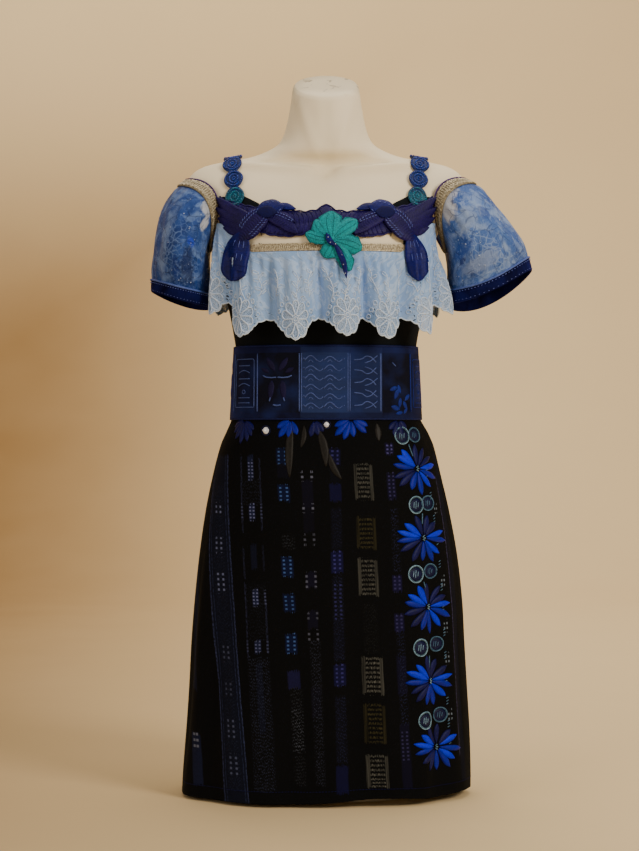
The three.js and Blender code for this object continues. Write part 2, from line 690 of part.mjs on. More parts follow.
// A strap: a chain of oval links, widest at each link's middle, domed on top.
function strap(side) {
  const line = strapLine(side);
  const curve = new THREE.CatmullRomCurve3(line.map(({ point }) => point));
  const count = STRAP_LINKS * STRAP_STEPS;
  const rings = steps(0, 1, count).map((s) => {
    const middle = curve.getPointAt(s);
    const along = curve.getTangentAt(s);
    const across = new THREE.Vector3(1, 0, 0).addScaledVector(along, -along.x).normalize();
    const out = new THREE.Vector3().crossVectors(across, along).normalize();
    if (out.dot(middle.clone().sub(new THREE.Vector3(middle.x, 6, 835))) < 0) out.negate();
    const swell = Math.abs(Math.sin(Math.PI * STRAP_LINKS * s)) ** 0.7;
    const width = STRAP_NARROW + (STRAP_WIDE - STRAP_NARROW) * swell;
    const place = (reach, height) => {
      const start = middle.clone().addScaledVector(across, reach * width).addScaledVector(out, 25);
      const skin = dropToForm(start, out.clone().negate());
      return skin.addScaledVector(out, BODICE_OUT + PIECE_GAP + 0.5 + height);
    };
    const shoulder = STRAP_THICK * 0.5;
    return [place(-1, 0), place(1, 0), place(0.95, shoulder), place(0, STRAP_THICK), place(-0.95, shoulder)];
  });
  return loft(rings);
}

// A raised leaf of cloth seen from the front: from a root to a tip, with a ridge along it.
// depthAt gives how far forward its underside lies.
function leaf(depthAt, root, tip, width, thick, bend = 0, widest = 0.5) {
  const from = new THREE.Vector2(...root);
  const to = new THREE.Vector2(...tip);
  const along = to.clone().sub(from);
  const across = new THREE.Vector2(-along.y, along.x).normalize();
  const rings = [0, 0.22, 0.5, 0.8, 1].map((s) => {
    const swell = s < widest ? s / widest : (1 - s) / (1 - widest);
    const half = (width / 2) * (0.16 + 0.84 * Math.sin((Math.PI / 2) * Math.min(1, swell * 1.25)));
    const bow = bend * Math.sin(Math.PI * s);
    const middle = from.clone().addScaledVector(along, s).addScaledVector(across, bow);
    const place = (reach, height) => {
      const p = middle.clone().addScaledVector(across, reach * half);
      return new THREE.Vector3(p.x, -depthAt(p.x, p.y) - height, p.y);
    };
    return [place(-1, 0), place(1, 0), place(1, thick * 0.45), place(0, thick), place(-1, thick * 0.45)];
  });
  return loft(rings);
}

// The band of feathers across the chest, with a small peak in the middle.
const BAND_ROWS = [
  { x: 0, low: 774, high: 812 },
  { x: 12, low: 773, high: 803 },
  { x: 30, low: 770, high: 800 },
  { x: 52, low: 767, high: 804 },
  { x: 76, low: 770, high: 806 },
  { x: 98, low: 778, high: 808 },
  { x: 120, low: 786, high: 814 },
  { x: 138, low: 798, high: 819 },
  { x: 146, low: 814, high: 825 },
];
const BAND_THICK = 3;
const BAND_UNDER = BODICE_OUT + PIECE_GAP + 0.8;

function wingBand() {
  const mirrored = [...BAND_ROWS.slice(1).reverse().map((row) => ({ ...row, x: -row.x })), ...BAND_ROWS];
  const rings = mirrored.map((row) => {
    const middle = (row.low + row.high) / 2;
    const place = (z, height) => new THREE.Vector3(row.x, -formDepth(row.x, z) - BAND_UNDER - height, z);
    const heights = [row.low, (row.low + middle) / 2, middle, (middle + row.high) / 2, row.high];
    return [
      ...heights.map((z) => place(z, 0)),
      ...heights.toReversed().map((z, i) => place(z, i % 2 ? BAND_THICK : BAND_THICK * 0.6)),
    ];
  });
  return loft(rings);
}

// How far forward the underside of the birds lies, over the feather band or the ruffle.
function birdDepth(x, z) {
  const chest = formDepth(x, z) + BAND_UNDER + BAND_THICK + PIECE_GAP + 0.6;
  return Math.max(chest, ruffleDepth(x, z) + PIECE_GAP + 1.1);
}

// A bird's leaves on the viewer's left: root and tip as seen from the front, width, thickness, bend.
const BIRD_LEAVES = [
  { root: [-68, 812], tip: [-42, 805], width: 7, thick: 3, bend: 2, widest: 0.3 }, // beak
  { root: [-84, 806], tip: [-54, 812], width: 20, thick: 5, bend: 3, widest: 0.55 }, // head
  { root: [-66, 812], tip: [-112, 768], width: 23, thick: 5, bend: -5, widest: 0.5 }, // body
  { root: [-106, 776], tip: [-131, 716], width: 17, thick: 4, bend: -4, widest: 0.6 }, // outer tail
  { root: [-104, 778], tip: [-116, 712], width: 17, thick: 4, bend: 3, widest: 0.6 }, // inner tail
  { root: [-98, 792], tip: [-147, 824], width: 14, thick: 4, bend: 5, widest: 0.5 }, // wing feathers
  { root: [-98, 786], tip: [-147, 810], width: 13, thick: 4, bend: 5, widest: 0.5 },
  { root: [-98, 781], tip: [-142, 796], width: 13, thick: 3.6, bend: 4, widest: 0.5 },
  { root: [-100, 777], tip: [-134, 784], width: 12, thick: 3.4, bend: 3, widest: 0.5 },
  { root: [-84, 800], tip: [-46, 772], width: 14, thick: 3.6, bend: 4, widest: 0.5 }, // inner wing
];

function bird(side) {
  return union(BIRD_LEAVES.map((row) => {
    const root = [row.root[0] * -side, row.root[1]];
    const tip = [row.tip[0] * -side, row.tip[1]];
    return leaf(birdDepth, root, tip, row.width, row.thick, row.bend * -side, row.widest);
  }));
}

const FLOWER_MIDDLE = [9, 762];
// Petals of the flower: direction, length, width and thickness.
const PETALS = [
  { turn: 92, long: 38, width: 25, thick: 4 },
  { turn: 58, long: 42, width: 24, thick: 4.4 },
  { turn: 20, long: 34, width: 24, thick: 4 },
  { turn: -22, long: 33, width: 24, thick: 4.4 },
  { turn: -62, long: 40, width: 22, thick: 4 },
  { turn: 128, long: 42, width: 24, thick: 4.4 },
  { turn: 168, long: 38, width: 22, thick: 4 },
  { turn: 206, long: 26, width: 18, thick: 3.6 },
];

function flowerDepth(x, z) {
  const chest = formDepth(x, z) + BAND_UNDER + BAND_THICK + PIECE_GAP + 0.5;
  return Math.max(chest, ruffleDepth(x, z) + PIECE_GAP + 1.1);
}

function flower() {
  const [x, z] = FLOWER_MIDDLE;
  return union(PETALS.map((petal) => {
    const turn = petal.turn * RADIANS;
    const tip = [x + petal.long * Math.cos(turn), z + petal.long * Math.sin(turn)];
    return leaf(flowerDepth, [x, z - 2], tip, petal.width, petal.thick, 2, 0.68);
  }));
}

function flowerStem() {
  const over = (x, z) => flowerDepth(x, z) + 5;
  return union([
    leaf(over, [0, 770], [12, 752], 8, 3, -2),
    leaf(over, [10, 757], [22, 712], 9, 3, 2),
  ]);
}

const group = new THREE.Group();

function addPiece(name, geometry, colour, roughness, metalness = 0) {
  const material = new THREE.MeshStandardMaterial({ color: colour, roughness, metalness });
  const mesh = new THREE.Mesh(geometry, material);
  mesh.name = name;
  group.add(mesh);
}

const bodice = bodiceHalves();
addPiece('dress_form', dressForm(), COLOURS.form, 0.6);
addPiece('bodice_front', bodice.front, COLOURS.black, 0.9);
addPiece('bodice_back', bodice.back, COLOURS.black, 0.9);
addPiece('neck_trim_front', neckTrim(NECKLINE_FRONT, -FAR, 0), COLOURS.gold, 0.4, 0.6);
addPiece('neck_trim_back', neckTrim(NECKLINE_BACK, 0, FAR), COLOURS.gold, 0.4, 0.6);
addPiece('ruffle_front', ruffleHalf(FRONT_WAVES), COLOURS.lace, 0.8);
addPiece('ruffle_back', ruffleHalf(BACK_WAVES), COLOURS.lace, 0.8);
addPiece('sleeve_left', sleeve(LEFT_SLEEVE), COLOURS.sleeve, 0.7);
addPiece('sleeve_right', sleeve(RIGHT_SLEEVE), COLOURS.sleeve, 0.7);
addPiece('sleeve_trim_left', sleeveTrim(LEFT_SLEEVE), COLOURS.gold, 0.4, 0.6);
addPiece('sleeve_trim_right', sleeveTrim(RIGHT_SLEEVE), COLOURS.gold, 0.4, 0.6);
addPiece('cuff_left', cuff(LEFT_SLEEVE), COLOURS.velvet, 0.9);
addPiece('cuff_right', cuff(RIGHT_SLEEVE), COLOURS.velvet, 0.9);
addPiece('strap_left', strap(-1), COLOURS.beads, 0.4);
addPiece('strap_right', strap(1), COLOURS.beads, 0.4);
addPiece('wing_band', wingBand(), COLOURS.purple, 0.8);
addPiece('bird_left', bird(-1), COLOURS.indigo, 0.8);
addPiece('bird_right', bird(1), COLOURS.indigo, 0.8);
addPiece('flower', flower(), COLOURS.teal, 0.8);
addPiece('flower_stem', flowerStem(), COLOURS.indigo, 0.8);
addPiece('belt', belt(), COLOURS.belt, 0.9);
addPiece('skirt_front', skirtFront(), COLOURS.black, 0.9);
addPiece('skirt_back', skirtBack(), COLOURS.black, 0.9);

export default group;
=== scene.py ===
# A highland costume on a limbless dress form: cloth as thin shells on the form's own shape, with lace,
# appliques, beads and woven patterns laid on them. Sizes are in millimetres and are turned to metres last.

import math

import bmesh
import bpy
import numpy as np
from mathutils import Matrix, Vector


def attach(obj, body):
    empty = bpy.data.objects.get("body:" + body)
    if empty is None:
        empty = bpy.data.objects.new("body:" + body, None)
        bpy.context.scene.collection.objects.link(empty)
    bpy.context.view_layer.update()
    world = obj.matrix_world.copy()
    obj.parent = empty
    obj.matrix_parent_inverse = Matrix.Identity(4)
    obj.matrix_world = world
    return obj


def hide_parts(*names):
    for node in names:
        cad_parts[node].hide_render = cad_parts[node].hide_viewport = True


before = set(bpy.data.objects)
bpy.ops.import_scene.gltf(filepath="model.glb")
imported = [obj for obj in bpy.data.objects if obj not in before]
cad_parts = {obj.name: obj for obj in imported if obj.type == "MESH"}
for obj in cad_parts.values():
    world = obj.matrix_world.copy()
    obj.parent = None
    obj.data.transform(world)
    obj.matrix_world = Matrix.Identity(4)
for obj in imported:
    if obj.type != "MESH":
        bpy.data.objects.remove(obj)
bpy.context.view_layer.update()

MM = 0.001
rng = np.random.default_rng(7)

# Driving sizes, as in the solids
PIECE_GAP = 0.3
LINING_GAP = 0.6
BODICE_WALL = 1.4
SKIRT_WALL = 1.8
RUFFLE_WALL = 1.2
CUFF_WALL = 2.4
TRIM_WALL = 1.4
BELT_WALL = 2.6
FINE_WALL = 0.9  # organza, lace and braid, thinner than their solids
WAIST_SEAM = 586
BELT_BOTTOM = 522
BELT_TOP = 619
NECKLINE_FRONT = 757
NECKLINE_BACK = 778
NECKLINE_HALF = 86
TAB_TOP = 826
ARMHOLE_FLOOR = 756
ARMHOLE_EDGE = 147
TRIM_HEIGHT = 10
BODICE_OUT = LINING_GAP + BODICE_WALL
SQUARE = 2.2

# z, half width, depth in front, depth behind, squareness, lean of the section's plane
FORM_COLUMNS = ("z", "half", "front", "back", "square", "lean")
FORM_ROWS = (
    (0, 128, 88, 92, 2.2, 0), (4, 132, 92, 96, 2.2, 0), (90, 142, 100, 104, 2.2, 0),
    (180, 152, 107, 112, 2.2, 0), (268, 158, 111, 118, 2.2, 0), (331, 161, 113, 121, 2.2, 0),
    (394, 160, 112, 121, 2.2, 0), (443, 152, 108, 117, 2.2, 0), (485, 141, 101, 109, 2.2, 0),
    (522, 128, 92, 96, 2.2, 0), (555, 123, 87, 88, 2.2, 0), (586, 122, 86, 85, 2.2, 0),
    (619, 124, 89, 85, 2.2, 0), (650, 129, 95, 87, 2.2, 0), (680, 135, 104, 89, 2.2, 0),
    (705, 140, 112, 91, 2.2, 0), (726, 144, 117, 92, 2.2, 0), (746, 148, 118, 93, 2.2, 0),
    (762, 151, 115, 93, 2.2, 0), (778, 156, 108, 92, 2.2, 0), (794, 163, 98, 90, 2.25, 0),
    (810, 172, 86, 86, 2.3, 0), (826, 183, 74, 80, 2.3, 0), (840, 192, 63, 73, 2.3, 0),
    (852, 194, 53, 65, 2.25, 0), (862, 188, 45, 58, 2.2, 0), (870, 178, 39, 52, 2.1, 0),
    (876, 163, 38, 51, 1.9, 0), (881, 138, 41, 54, 1.7, 0), (886, 110, 46, 57, 1.7, 0.02),
    (893, 88, 50, 56, 1.8, 0.05), (903, 69, 51, 53, 2, 0.1), (916, 60, 51, 50, 2, 0.18),
    (934, 54.5, 50, 47, 2, 0.3), (960, 49.5, 48, 44, 2, 0.45), (984, 46, 46, 41, 2, 0.52),
    (988, 43, 43, 38, 2, 0.52),
)
SKIRT_COLUMNS = ("z", "left", "right", "front", "back")
SKIRT_ROWS = (
    (4, 201, 199, 134, 140), (40, 199, 199, 133, 140), (90, 195, 197.5, 132, 139),
    (150, 191, 194, 130, 138), (210, 188, 190.5, 128, 136), (268, 183.5, 187.5, 126, 134),
    (331, 177, 180.5, 122, 131), (394, 168, 169, 118, 127), (443, 158, 157.5, 113, 122),
    (485, 147, 147, 105.5, 113.5), (503, 139.2, 139.2, 100.5, 106.5), (522, 131.4, 131.4, 95.4, 99.4),
    (555, 126, 126, 90, 91), (585, 124.6, 124.6, 88.6, 87.6),
)
# angle, how far the fold reaches out at the hem, half width in degrees
SKIRT_FOLDS = (
    (200, 4, 9), (222, -4, 8), (243, 4, 10), (262, -2, 8), (283, -4, 9), (303, 5, 10), (322, -4, 8),
    (340, 3, 8), (25, -4, 9), (52, 5, 10), (80, -4, 10), (108, 4, 10), (134, -4, 9), (158, 4, 9),
)
HEM_LIFTS = (
    (0, 6), (60, 3), (120, 2), (180, 0), (230, 1), (265, 2), (290, 9), (318, 5), (340, 8), (360, 6),
)
LAP_TURN = 5
LAP_LIFT = 14
SEAM_TURN = 0.1

# angle of the crest, height of its hem, reach beyond the plain oval, inset of the valley after it
RUFFLE_WAVES = (
    (203, 666, 17, 2), (225, 631, 7, 12), (256, 627, 4, 12), (277, 634, 7, 13), (298, 628, 5, 12),
    (325, 637, 8, 3), (343, 664, 20, 6), (380, 668, 8, 4), (402, 642, 8, 8), (426, 632, 6, 12),
    (450, 636, 7, 12), (474, 630, 6, 12), (498, 640, 8, 8), (520, 668, 8, 6),
)
RUFFLE_MIDDLE = 3
RUFFLE_HALF = 157
RUFFLE_FRONT = 139
RUFFLE_BACK = 118
VALLEY_RISE = 22
SCALLOP = 4
RUFFLE_TOP_FRONT = NECKLINE_FRONT - TRIM_HEIGHT - 0.8
RUFFLE_TOP_BACK = NECKLINE_BACK - TRIM_HEIGHT - 0.8
RUFFLE_SIDE_TOP = 790
ARMPIT_TOP = 744
FRONT_WAVES = (-0.494, 6.494)
BACK_WAVES = (6.506, 13.494)

# over the arm x z, in front x y z, under the arm x z, behind x y z
LEFT_SLEEVE = (
    (-196, 853.5, -152, -54, 827, -164, 760, -152, 64, 827),
    (-214, 838, -170, -74, 808, -165, 750, -170, 82, 808),
    (-230, 812, -188, -84, 780, -163, 735, -188, 88, 780),
    (-239, 775, -198, -85, 748, -162, 717, -198, 88, 748),
    (-243, 738, -200, -78, 720, -161, 704, -200, 80, 716),
    (-243, 716, -199, -70, 702, -161, 694, -199, 71, 701),
    (-243.5, 699, -199, -69, 683, -161, 676, -199, 70, 681),
)
RIGHT_SLEEVE = (
    (196, 854.5, 152, -54, 830, 166, 760, 153, 64, 829),
    (219, 842, 171, -75, 812, 170, 750, 172, 83, 812),
    (241, 816, 194, -86, 786, 170, 737, 194, 89, 784),
    (261, 790, 211, -88, 757, 170, 722, 213, 90, 752),
    (278, 765, 218, -82, 730, 169, 709, 221, 84, 718),
    (283, 747, 218, -74, 710, 168, 698, 226, 76, 702),
    (288, 729, 216, -73, 691, 168, 679, 230, 75, 683),
)
CUFF_ROW = 5
CUFF_DROP = 17  # millimetres from the cuff's row to the last one
TRIM_DEPTH = 0.62

# The photo's camera: level, square on to the front
CAMERA_DISTANCE = 2900
CAMERA_HEIGHT = 512
CAMERA_SIDE = -9
PICTURE_HEIGHT = 1191  # millimetres that the picture's height covers at the middle plane
SENSOR = 36


# Curves and surfaces

def column(rows, at, by=0):
    """A smooth curve through one column of a table, by another column."""
    x = np.array([row[by] for row in rows], float)
    y = np.array([row[at] for row in rows], float)
    low = np.maximum(np.arange(len(x)) - 1, 0)
    high = np.minimum(np.arange(len(x)) + 1, len(x) - 1)
    slope = (y[high] - y[low]) / (x[high] - x[low])

    def curve(place):
        place = np.asarray(place, float)
        i = np.clip(np.searchsorted(x, place, side="right") - 1, 0, len(x) - 2)
        span = x[i + 1] - x[i]
        s = np.clip((place - x[i]) / span, 0, 1)
        rise = s * s * (3 - 2 * s)
        leave = s * (1 - s) ** 2 * span
        arrive = -s * s * (1 - s) * span
        return y[i] + (y[i + 1] - y[i]) * rise + slope[i] * leave + slope[i + 1] * arrive

    return curve


def smooth(value, low, high):
    s = np.clip((value - low) / (high - low), 0, 1)
    return s * s * (3 - 2 * s)


def ridge(away, spread):
    """A soft ridge: 1 on its line, and little past `spread` from it."""
    return np.exp(-((away / spread) ** 2))


def between(value, low, full, fade, high):
    """Rises from low to full and falls again from fade to high."""
    return smooth(value, low, full) * (1 - smooth(value, fade, high))


FORM = {name: column(FORM_ROWS, i) for i, name in enumerate(FORM_COLUMNS)}
SKIRT = {name: column(SKIRT_ROWS, i) for i, name in enumerate(SKIRT_COLUMNS)}
hem_lift = column(HEM_LIFTS, 1)


def power(value, square):
    return np.sign(value) * np.abs(value) ** (2 / square)


def oval(angle, right, left, front, back, square=SQUARE):
    """Angle 0 is the viewer's right, 90 the back, 180 the left and 270 the front."""
    c = power(np.cos(np.radians(angle)), square)
    s = power(np.sin(np.radians(angle)), square)
    return c * np.where(c > 0, right, left), s * np.where(s > 0, back, front)


def form_point(z, angle, out=0):
    """A point on the form's skin, or that far outside it."""
    z, angle, out = np.broadcast_arrays(np.asarray(z, float), angle, out)
    half = FORM["half"](z) + out
    x, y = oval(angle, half, half, FORM["front"](z) + out, FORM["back"](z) + out, FORM["square"](z))
    return np.stack([x, y, z + FORM["lean"](z) * y], -1)


def form_depth(x, z):
    """How far in front of the middle plane the skin lies at a place seen from the front."""
    square = FORM["square"](z)
    across = np.minimum(np.abs(x) / FORM["half"](z), 0.999)
    return FORM["front"](z) * (1 - across ** square) ** (1 / square)


def skirt_fold(angle):
    total = 0
    for at, out, spread in SKIRT_FOLDS:
        away = (angle - at + 540) % 360 - 180
        total = total + out * ridge(away, spread)
    return total


def skirt_point(z, angle, out=0):
    z, angle, out = np.broadcast_arrays(np.asarray(z, float), angle, out)
    loose = np.maximum(0, (430 - z) / 430)
    extra = out + skirt_fold((angle + 360) % 360) * loose
    x, y = oval(angle, SKIRT["right"](z) + extra, SKIRT["left"](z) + extra,
                SKIRT["front"](z) + extra, SKIRT["back"](z) + extra)
    lifted = z + hem_lift((angle + 360) % 360) * np.clip(1 - z / 40, 0, 1)
    return np.stack([x, y, lifted], -1)


def wave_at(u):
    """The ruffle's wave at u, which counts the crests round the body."""
    waves = np.array(RUFFLE_WAVES, float)
    count = len(waves)
    i = np.floor(u).astype(int) % count
    after = (i + 1) % count
    s = u - np.floor(u)
    step = s * s * (3 - 2 * s)
    next_angle = np.where(i + 1 < count, waves[after, 0], waves[after, 0] + 360)
    return {
        "angle": waves[i, 0] + (next_angle - waves[i, 0]) * s,
        "crest": 0.5 + 0.5 * np.cos(2 * np.pi * s),
        "hem": waves[i, 1] + (waves[after, 1] - waves[i, 1]) * step,
        "reach": waves[i, 2] + (waves[after, 2] - waves[i, 2]) * step,
        "inset": waves[i, 3],
        "s": s,
    }


def ruffle_top(x, is_front):
    middle = np.where(is_front, RUFFLE_TOP_FRONT, RUFFLE_TOP_BACK)
    raised = middle + (RUFFLE_SIDE_TOP - middle) * smooth(np.abs(x), 100, 138)
    return raised + (ARMPIT_TOP - raised) * smooth(np.abs(x), 140, 150)


def ruffle_point(u, v, out=0):
    """u counts the waves and v runs from the top edge, 0, to the hem, 1."""
    u, v = np.broadcast_arrays(np.asarray(u, float), v)
    wave = wave_at(u)
    angle = wave["angle"] % 360
    sewn = BODICE_OUT + PIECE_GAP + RUFFLE_WALL + 0.5
    guess = form_point(NECKLINE_FRONT, angle, sewn)
    top = form_point(ruffle_top(guess[..., 0], angle > 180), angle, sewn)
    reach = wave["reach"] * wave["crest"] - wave["inset"] * (1 - wave["crest"]) + out
    x, y = oval(angle, RUFFLE_HALF + reach, RUFFLE_HALF + reach, RUFFLE_FRONT + reach, RUFFLE_BACK + reach)
    scallop = SCALLOP * np.abs(np.sin(1.5 * np.pi * (wave["s"] + 1 / 3)))
    hem_z = wave["hem"] + VALLEY_RISE * (1 - wave["crest"]) - scallop + SCALLOP
    spread = 1 - (1 - v) ** 2.2
    return np.stack([
        top[..., 0] + (x + RUFFLE_MIDDLE - top[..., 0]) * spread,
        top[..., 1] + (y - top[..., 1]) * spread,
        top[..., 2] + (hem_z - top[..., 2]) * v,
    ], -1)


def sleeve_point(table, v, turn):
    """v counts the table's rows; turn 0 is over the arm, 90 in front, 180 under it and 270 behind."""
    rows = [(i, *row) for i, row in enumerate(table)]
    v, turn = np.broadcast_arrays(np.asarray(v, float), turn)
    value = [column(rows, i + 1)(v) for i in range(10)]
    level = np.full_like(v, 3.0)
    over = np.stack([value[0], level, value[1]], -1)
    front = np.stack(value[2:5], -1)
    under = np.stack([value[5], level, value[6]], -1)
    back = np.stack(value[7:10], -1)
    a = np.radians(turn)[..., None]
    middle = (over + front + under + back) / 4
    bow = (over + under - front - back) / 4
    return middle + (over - under) / 2 * np.cos(a) + (front - back) / 2 * np.sin(a) + bow * np.cos(2 * a)


# Mesh making

def normals_of(grid):
    """The direction square to a grid of points, facing away from the middle of each row."""
    along = np.gradient(grid, axis=1)
    up = np.gradient(grid, axis=0)
    if np.allclose(grid[:, 0], grid[:, -1], atol=1e-6):
        seam = grid[:, 1] - grid[:, -2]
        along[:, 0] = seam
        along[:, -1] = seam
    normal = np.cross(along, up)
    normal /= np.maximum(np.linalg.norm(normal, axis=-1, keepdims=True), 1e-9)
    facing = (normal * (grid - grid.mean(axis=1, keepdims=True))).sum()
    return normal if facing > 0 else -normal


def new_object(name, points, faces, uv=None, flat=False):
    """A mesh object from points in millimetres. uv gives each point's place on the cloth in metres."""
    mesh = bpy.data.meshes.new(name)
    mesh.from_pydata((np.asarray(points) * MM).tolist(), [], [list(map(int, f)) for f in faces])
    if uv is not None:
        layer = mesh.uv_layers.new(name="UVMap")
        index = np.empty(len(mesh.loops), int)
        mesh.loops.foreach_get("vertex_index", index)
        layer.data.foreach_set("uv", np.asarray(uv, float)[index].ravel())
    mesh.update()
    if not flat:
        mesh.polygons.foreach_set("use_smooth", [True] * len(mesh.polygons))
    thing = bpy.data.objects.new(name, mesh)
    bpy.context.collection.objects.link(thing)
    return thing


def grid_faces(rows, count, start=0, flip=False):
    r, i = np.meshgrid(np.arange(rows - 1), np.arange(count - 1), indexing="ij")
    a = (start + r * count + i).ravel()
    quads = np.stack([a, a + 1, a + count + 1, a + count], 1)
    return quads[:, ::-1] if flip else quads


def ring_faces(rows, count, closed=False):
    """Quads between rings of points that follow one another; `closed` joins the last ring to the first."""
    quads = []
    for r in range(rows if closed else rows - 1):
        low, high = r * count, (r + 1) % rows * count
        quads += [(low + i, low + (i + 1) % count, high + (i + 1) % count, high + i) for i in range(count)]
    return quads


def end_faces(rows, count):
    """The first and the last ring's own faces."""
    return [tuple(range(count))[::-1], tuple((rows - 1) * count + i for i in range(count))]


def turns_round(count):
    """Even turns once round, without the last, which is the first again."""
    return np.linspace(0, 2 * np.pi, count + 1)[:-1]


def cloth_uv(grid, middle, heights):
    """Each point's place on the cloth in metres: along its row from the column `middle`, and its height."""
    run = arc_length(grid, middle)
    return np.stack([run, np.broadcast_to(heights[:, None], run.shape)], -1) * MM


def is_facing_in(grid, normal):
    along = grid[1, 1] - grid[1, 0]
    up = grid[2, 0] - grid[1, 0]
    return bool(np.dot(np.cross(along, up), normal[1, 0]) < 0)


def weld(thing, distance=1e-7):
    """Joins the points that lie on one another where a ring of cloth closes."""
    mesh = bmesh.new()
    mesh.from_mesh(thing.data)
    bmesh.ops.remove_doubles(mesh, verts=mesh.verts, dist=distance)
    mesh.to_mesh(thing.data)
    mesh.free()


def finish_piece(thing, material=None):
    if material:
        thing.data.materials.append(material)
    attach(thing, "root")


def arc_length(grid, middle):
    """How far each point of a row lies along it from the column `middle`."""
    step = np.linalg.norm(np.diff(grid, axis=1), axis=-1)
    run = np.concatenate([np.zeros((len(grid), 1)), np.cumsum(step, axis=1)], axis=1)
    return run - run[:, middle:middle + 1]


def run_of(line):
    """How far each point of a line lies along it from its start."""
    return np.concatenate([[0], np.cumsum(np.linalg.norm(np.diff(line, axis=0), axis=1))])


def tube(path, radius, sides=8, closed=False):
    """Points and faces of a round cord along a path."""
    path = np.asarray(path, float)
    count = len(path)
    tangent = np.roll(path, -1, 0) - np.roll(path, 1, 0) if closed else np.gradient(path, axis=0)
    tangent /= np.maximum(np.linalg.norm(tangent, axis=1, keepdims=True), 1e-9)
    side = np.cross(tangent, [0.13, 0.21, 0.97])
    side /= np.maximum(np.linalg.norm(side, axis=1, keepdims=True), 1e-9)
    other = np.cross(tangent, side)
    turn = np.linspace(0, 2 * np.pi, sides, endpoint=False)
    radius = np.broadcast_to(radius, count)[:, None, None]
    ring = side[:, None] * np.cos(turn)[None, :, None] + other[:, None] * np.sin(turn)[None, :, None]
    points = (path[:, None] + ring * radius).reshape(-1, 3)
    return points, ring_faces(count, sides, closed) + ([] if closed else end_faces(count, sides))


def bead_shape(rings=4, sides=8):
    points = [(0, 0, 1)]
    for r in range(1, rings):
        a = math.pi * r / rings
        points += [(math.sin(a) * math.cos(t), math.sin(a) * math.sin(t), math.cos(a))
                   for t in (2 * math.pi * i / sides for i in range(sides))]
    points.append((0, 0, -1))
    faces = []
    for i in range(sides):
        j = (i + 1) % sides
        faces.append((0, 1 + i, 1 + j))
        for r in range(rings - 2):
            a = 1 + r * sides
            faces.append((a + i, a + sides + i, a + sides + j, a + j))
        low = 1 + (rings - 2) * sides
        faces.append((low + i, len(points) - 1, low + j))
    return np.array(points), faces


class Joined:
    """Many small shapes gathered into one mesh."""

    def __init__(self):
        self.points = []
        self.faces = []
        self.uv = []
        self.count = 0

    def add(self, points, faces, uv=None):
        points = np.asarray(points, float)
        self.points.append(points)
        self.faces += [tuple(int(i) + self.count for i in face) for face in faces]
        self.uv.append(np.zeros((len(points), 2)) if uv is None else np.asarray(uv, float))
        self.count += len(points)

    def beads(self, places, radius, shape=bead_shape()):
        for place, size in zip(places, np.broadcast_to(radius, len(places))):
            self.add(shape[0] * size + place, shape[1])

    def make(self, name, material, slot=None, flat=False):
        thing = new_object(name, np.concatenate(self.points), self.faces, np.concatenate(self.uv), flat)
        finish_piece(thing, material)
        return thing


def thicken(points, normals, faces, thick, uv):
    """Gives a patch of faces a second side `thick` below it and a rim along its open edges."""
    faces = np.asarray(faces)
    used = np.unique(faces)
    number = np.full(len(points), -1)
    number[used] = np.arange(len(used))
    faces = number[faces]
    points = points[used]
    normals = normals[used]
    uv = uv[used]
    edges = np.concatenate([faces[:, [i, (i + 1) % 4]] for i in range(4)])
    key = np.sort(edges, axis=1)
    _, first, times = np.unique(key[:, 0] * len(points) + key[:, 1], return_index=True, return_counts=True)
    rim = edges[first[times == 1]]
    size = len(points)
    walls = np.stack([rim[:, 1], rim[:, 0], rim[:, 0] + size, rim[:, 1] + size], 1)
    every = np.concatenate([faces, faces[:, ::-1] + size, walls])
    return np.concatenate([points, points - normals * thick]), every, np.concatenate([uv, uv])


def patch(name, grid, thick, uv, material, keep=None, normals=None):
    """A thin cloth wall whose outside is a grid of points; `keep` says which of its cells are cloth."""
    rows, count = grid.shape[:2]
    normals = normals_of(grid) if normals is None else normals
    faces = grid_faces(rows, count, 0, is_facing_in(grid, normals))
    if keep is not None:
        faces = faces[keep.ravel()]
    size = rows * count
    points, faces, uv = thicken(
        grid.reshape(size, 3), normals.reshape(size, 3), faces, thick, np.asarray(uv).reshape(size, 2))
    thing = new_object(name, points, faces, uv)
    if np.allclose(grid[:, 0], grid[:, -1], atol=1e-6):
        weld(thing)
    finish_piece(thing, material)
    return thing


NET_STEP = 1.6


class Net:
    """A surface measured once on an even net; places between its knots are read in a straight line."""

    def __init__(self, surface, across, up):
        self.starts = (across[0], up[0])
        self.steps = (across[1] - across[0], up[1] - up[0])
        self.points = surface(across[None], up[:, None])
        normal = np.cross(np.gradient(self.points, axis=1), np.gradient(self.points, axis=0))
        normal /= np.maximum(np.linalg.norm(normal, axis=-1, keepdims=True), 1e-9)
        self.normals = normal * np.sign((normal * self.points * [1, 1, 0]).sum(-1, keepdims=True))

    def read(self, a, b):
        """The points, and the directions square to the surface there."""
        a, b = np.broadcast_arrays(np.asarray(a, float), np.asarray(b, float))
        rows, count = self.points.shape[:2]
        i = (a - self.starts[0]) / self.steps[0]
        j = (b - self.starts[1]) / self.steps[1]
        column_at = np.clip(np.floor(i).astype(int), 0, count - 2)
        row_at = np.clip(np.floor(j).astype(int), 0, rows - 2)
        s = (i - column_at)[..., None]
        r = (j - row_at)[..., None]
        found = []
        for table in (self.points, self.normals):
            low = table[row_at, column_at] * (1 - s) + table[row_at, column_at + 1] * s
            high = table[row_at + 1, column_at] * (1 - s) + table[row_at + 1, column_at + 1] * s
            found.append(low * (1 - r) + high * r)
        return found


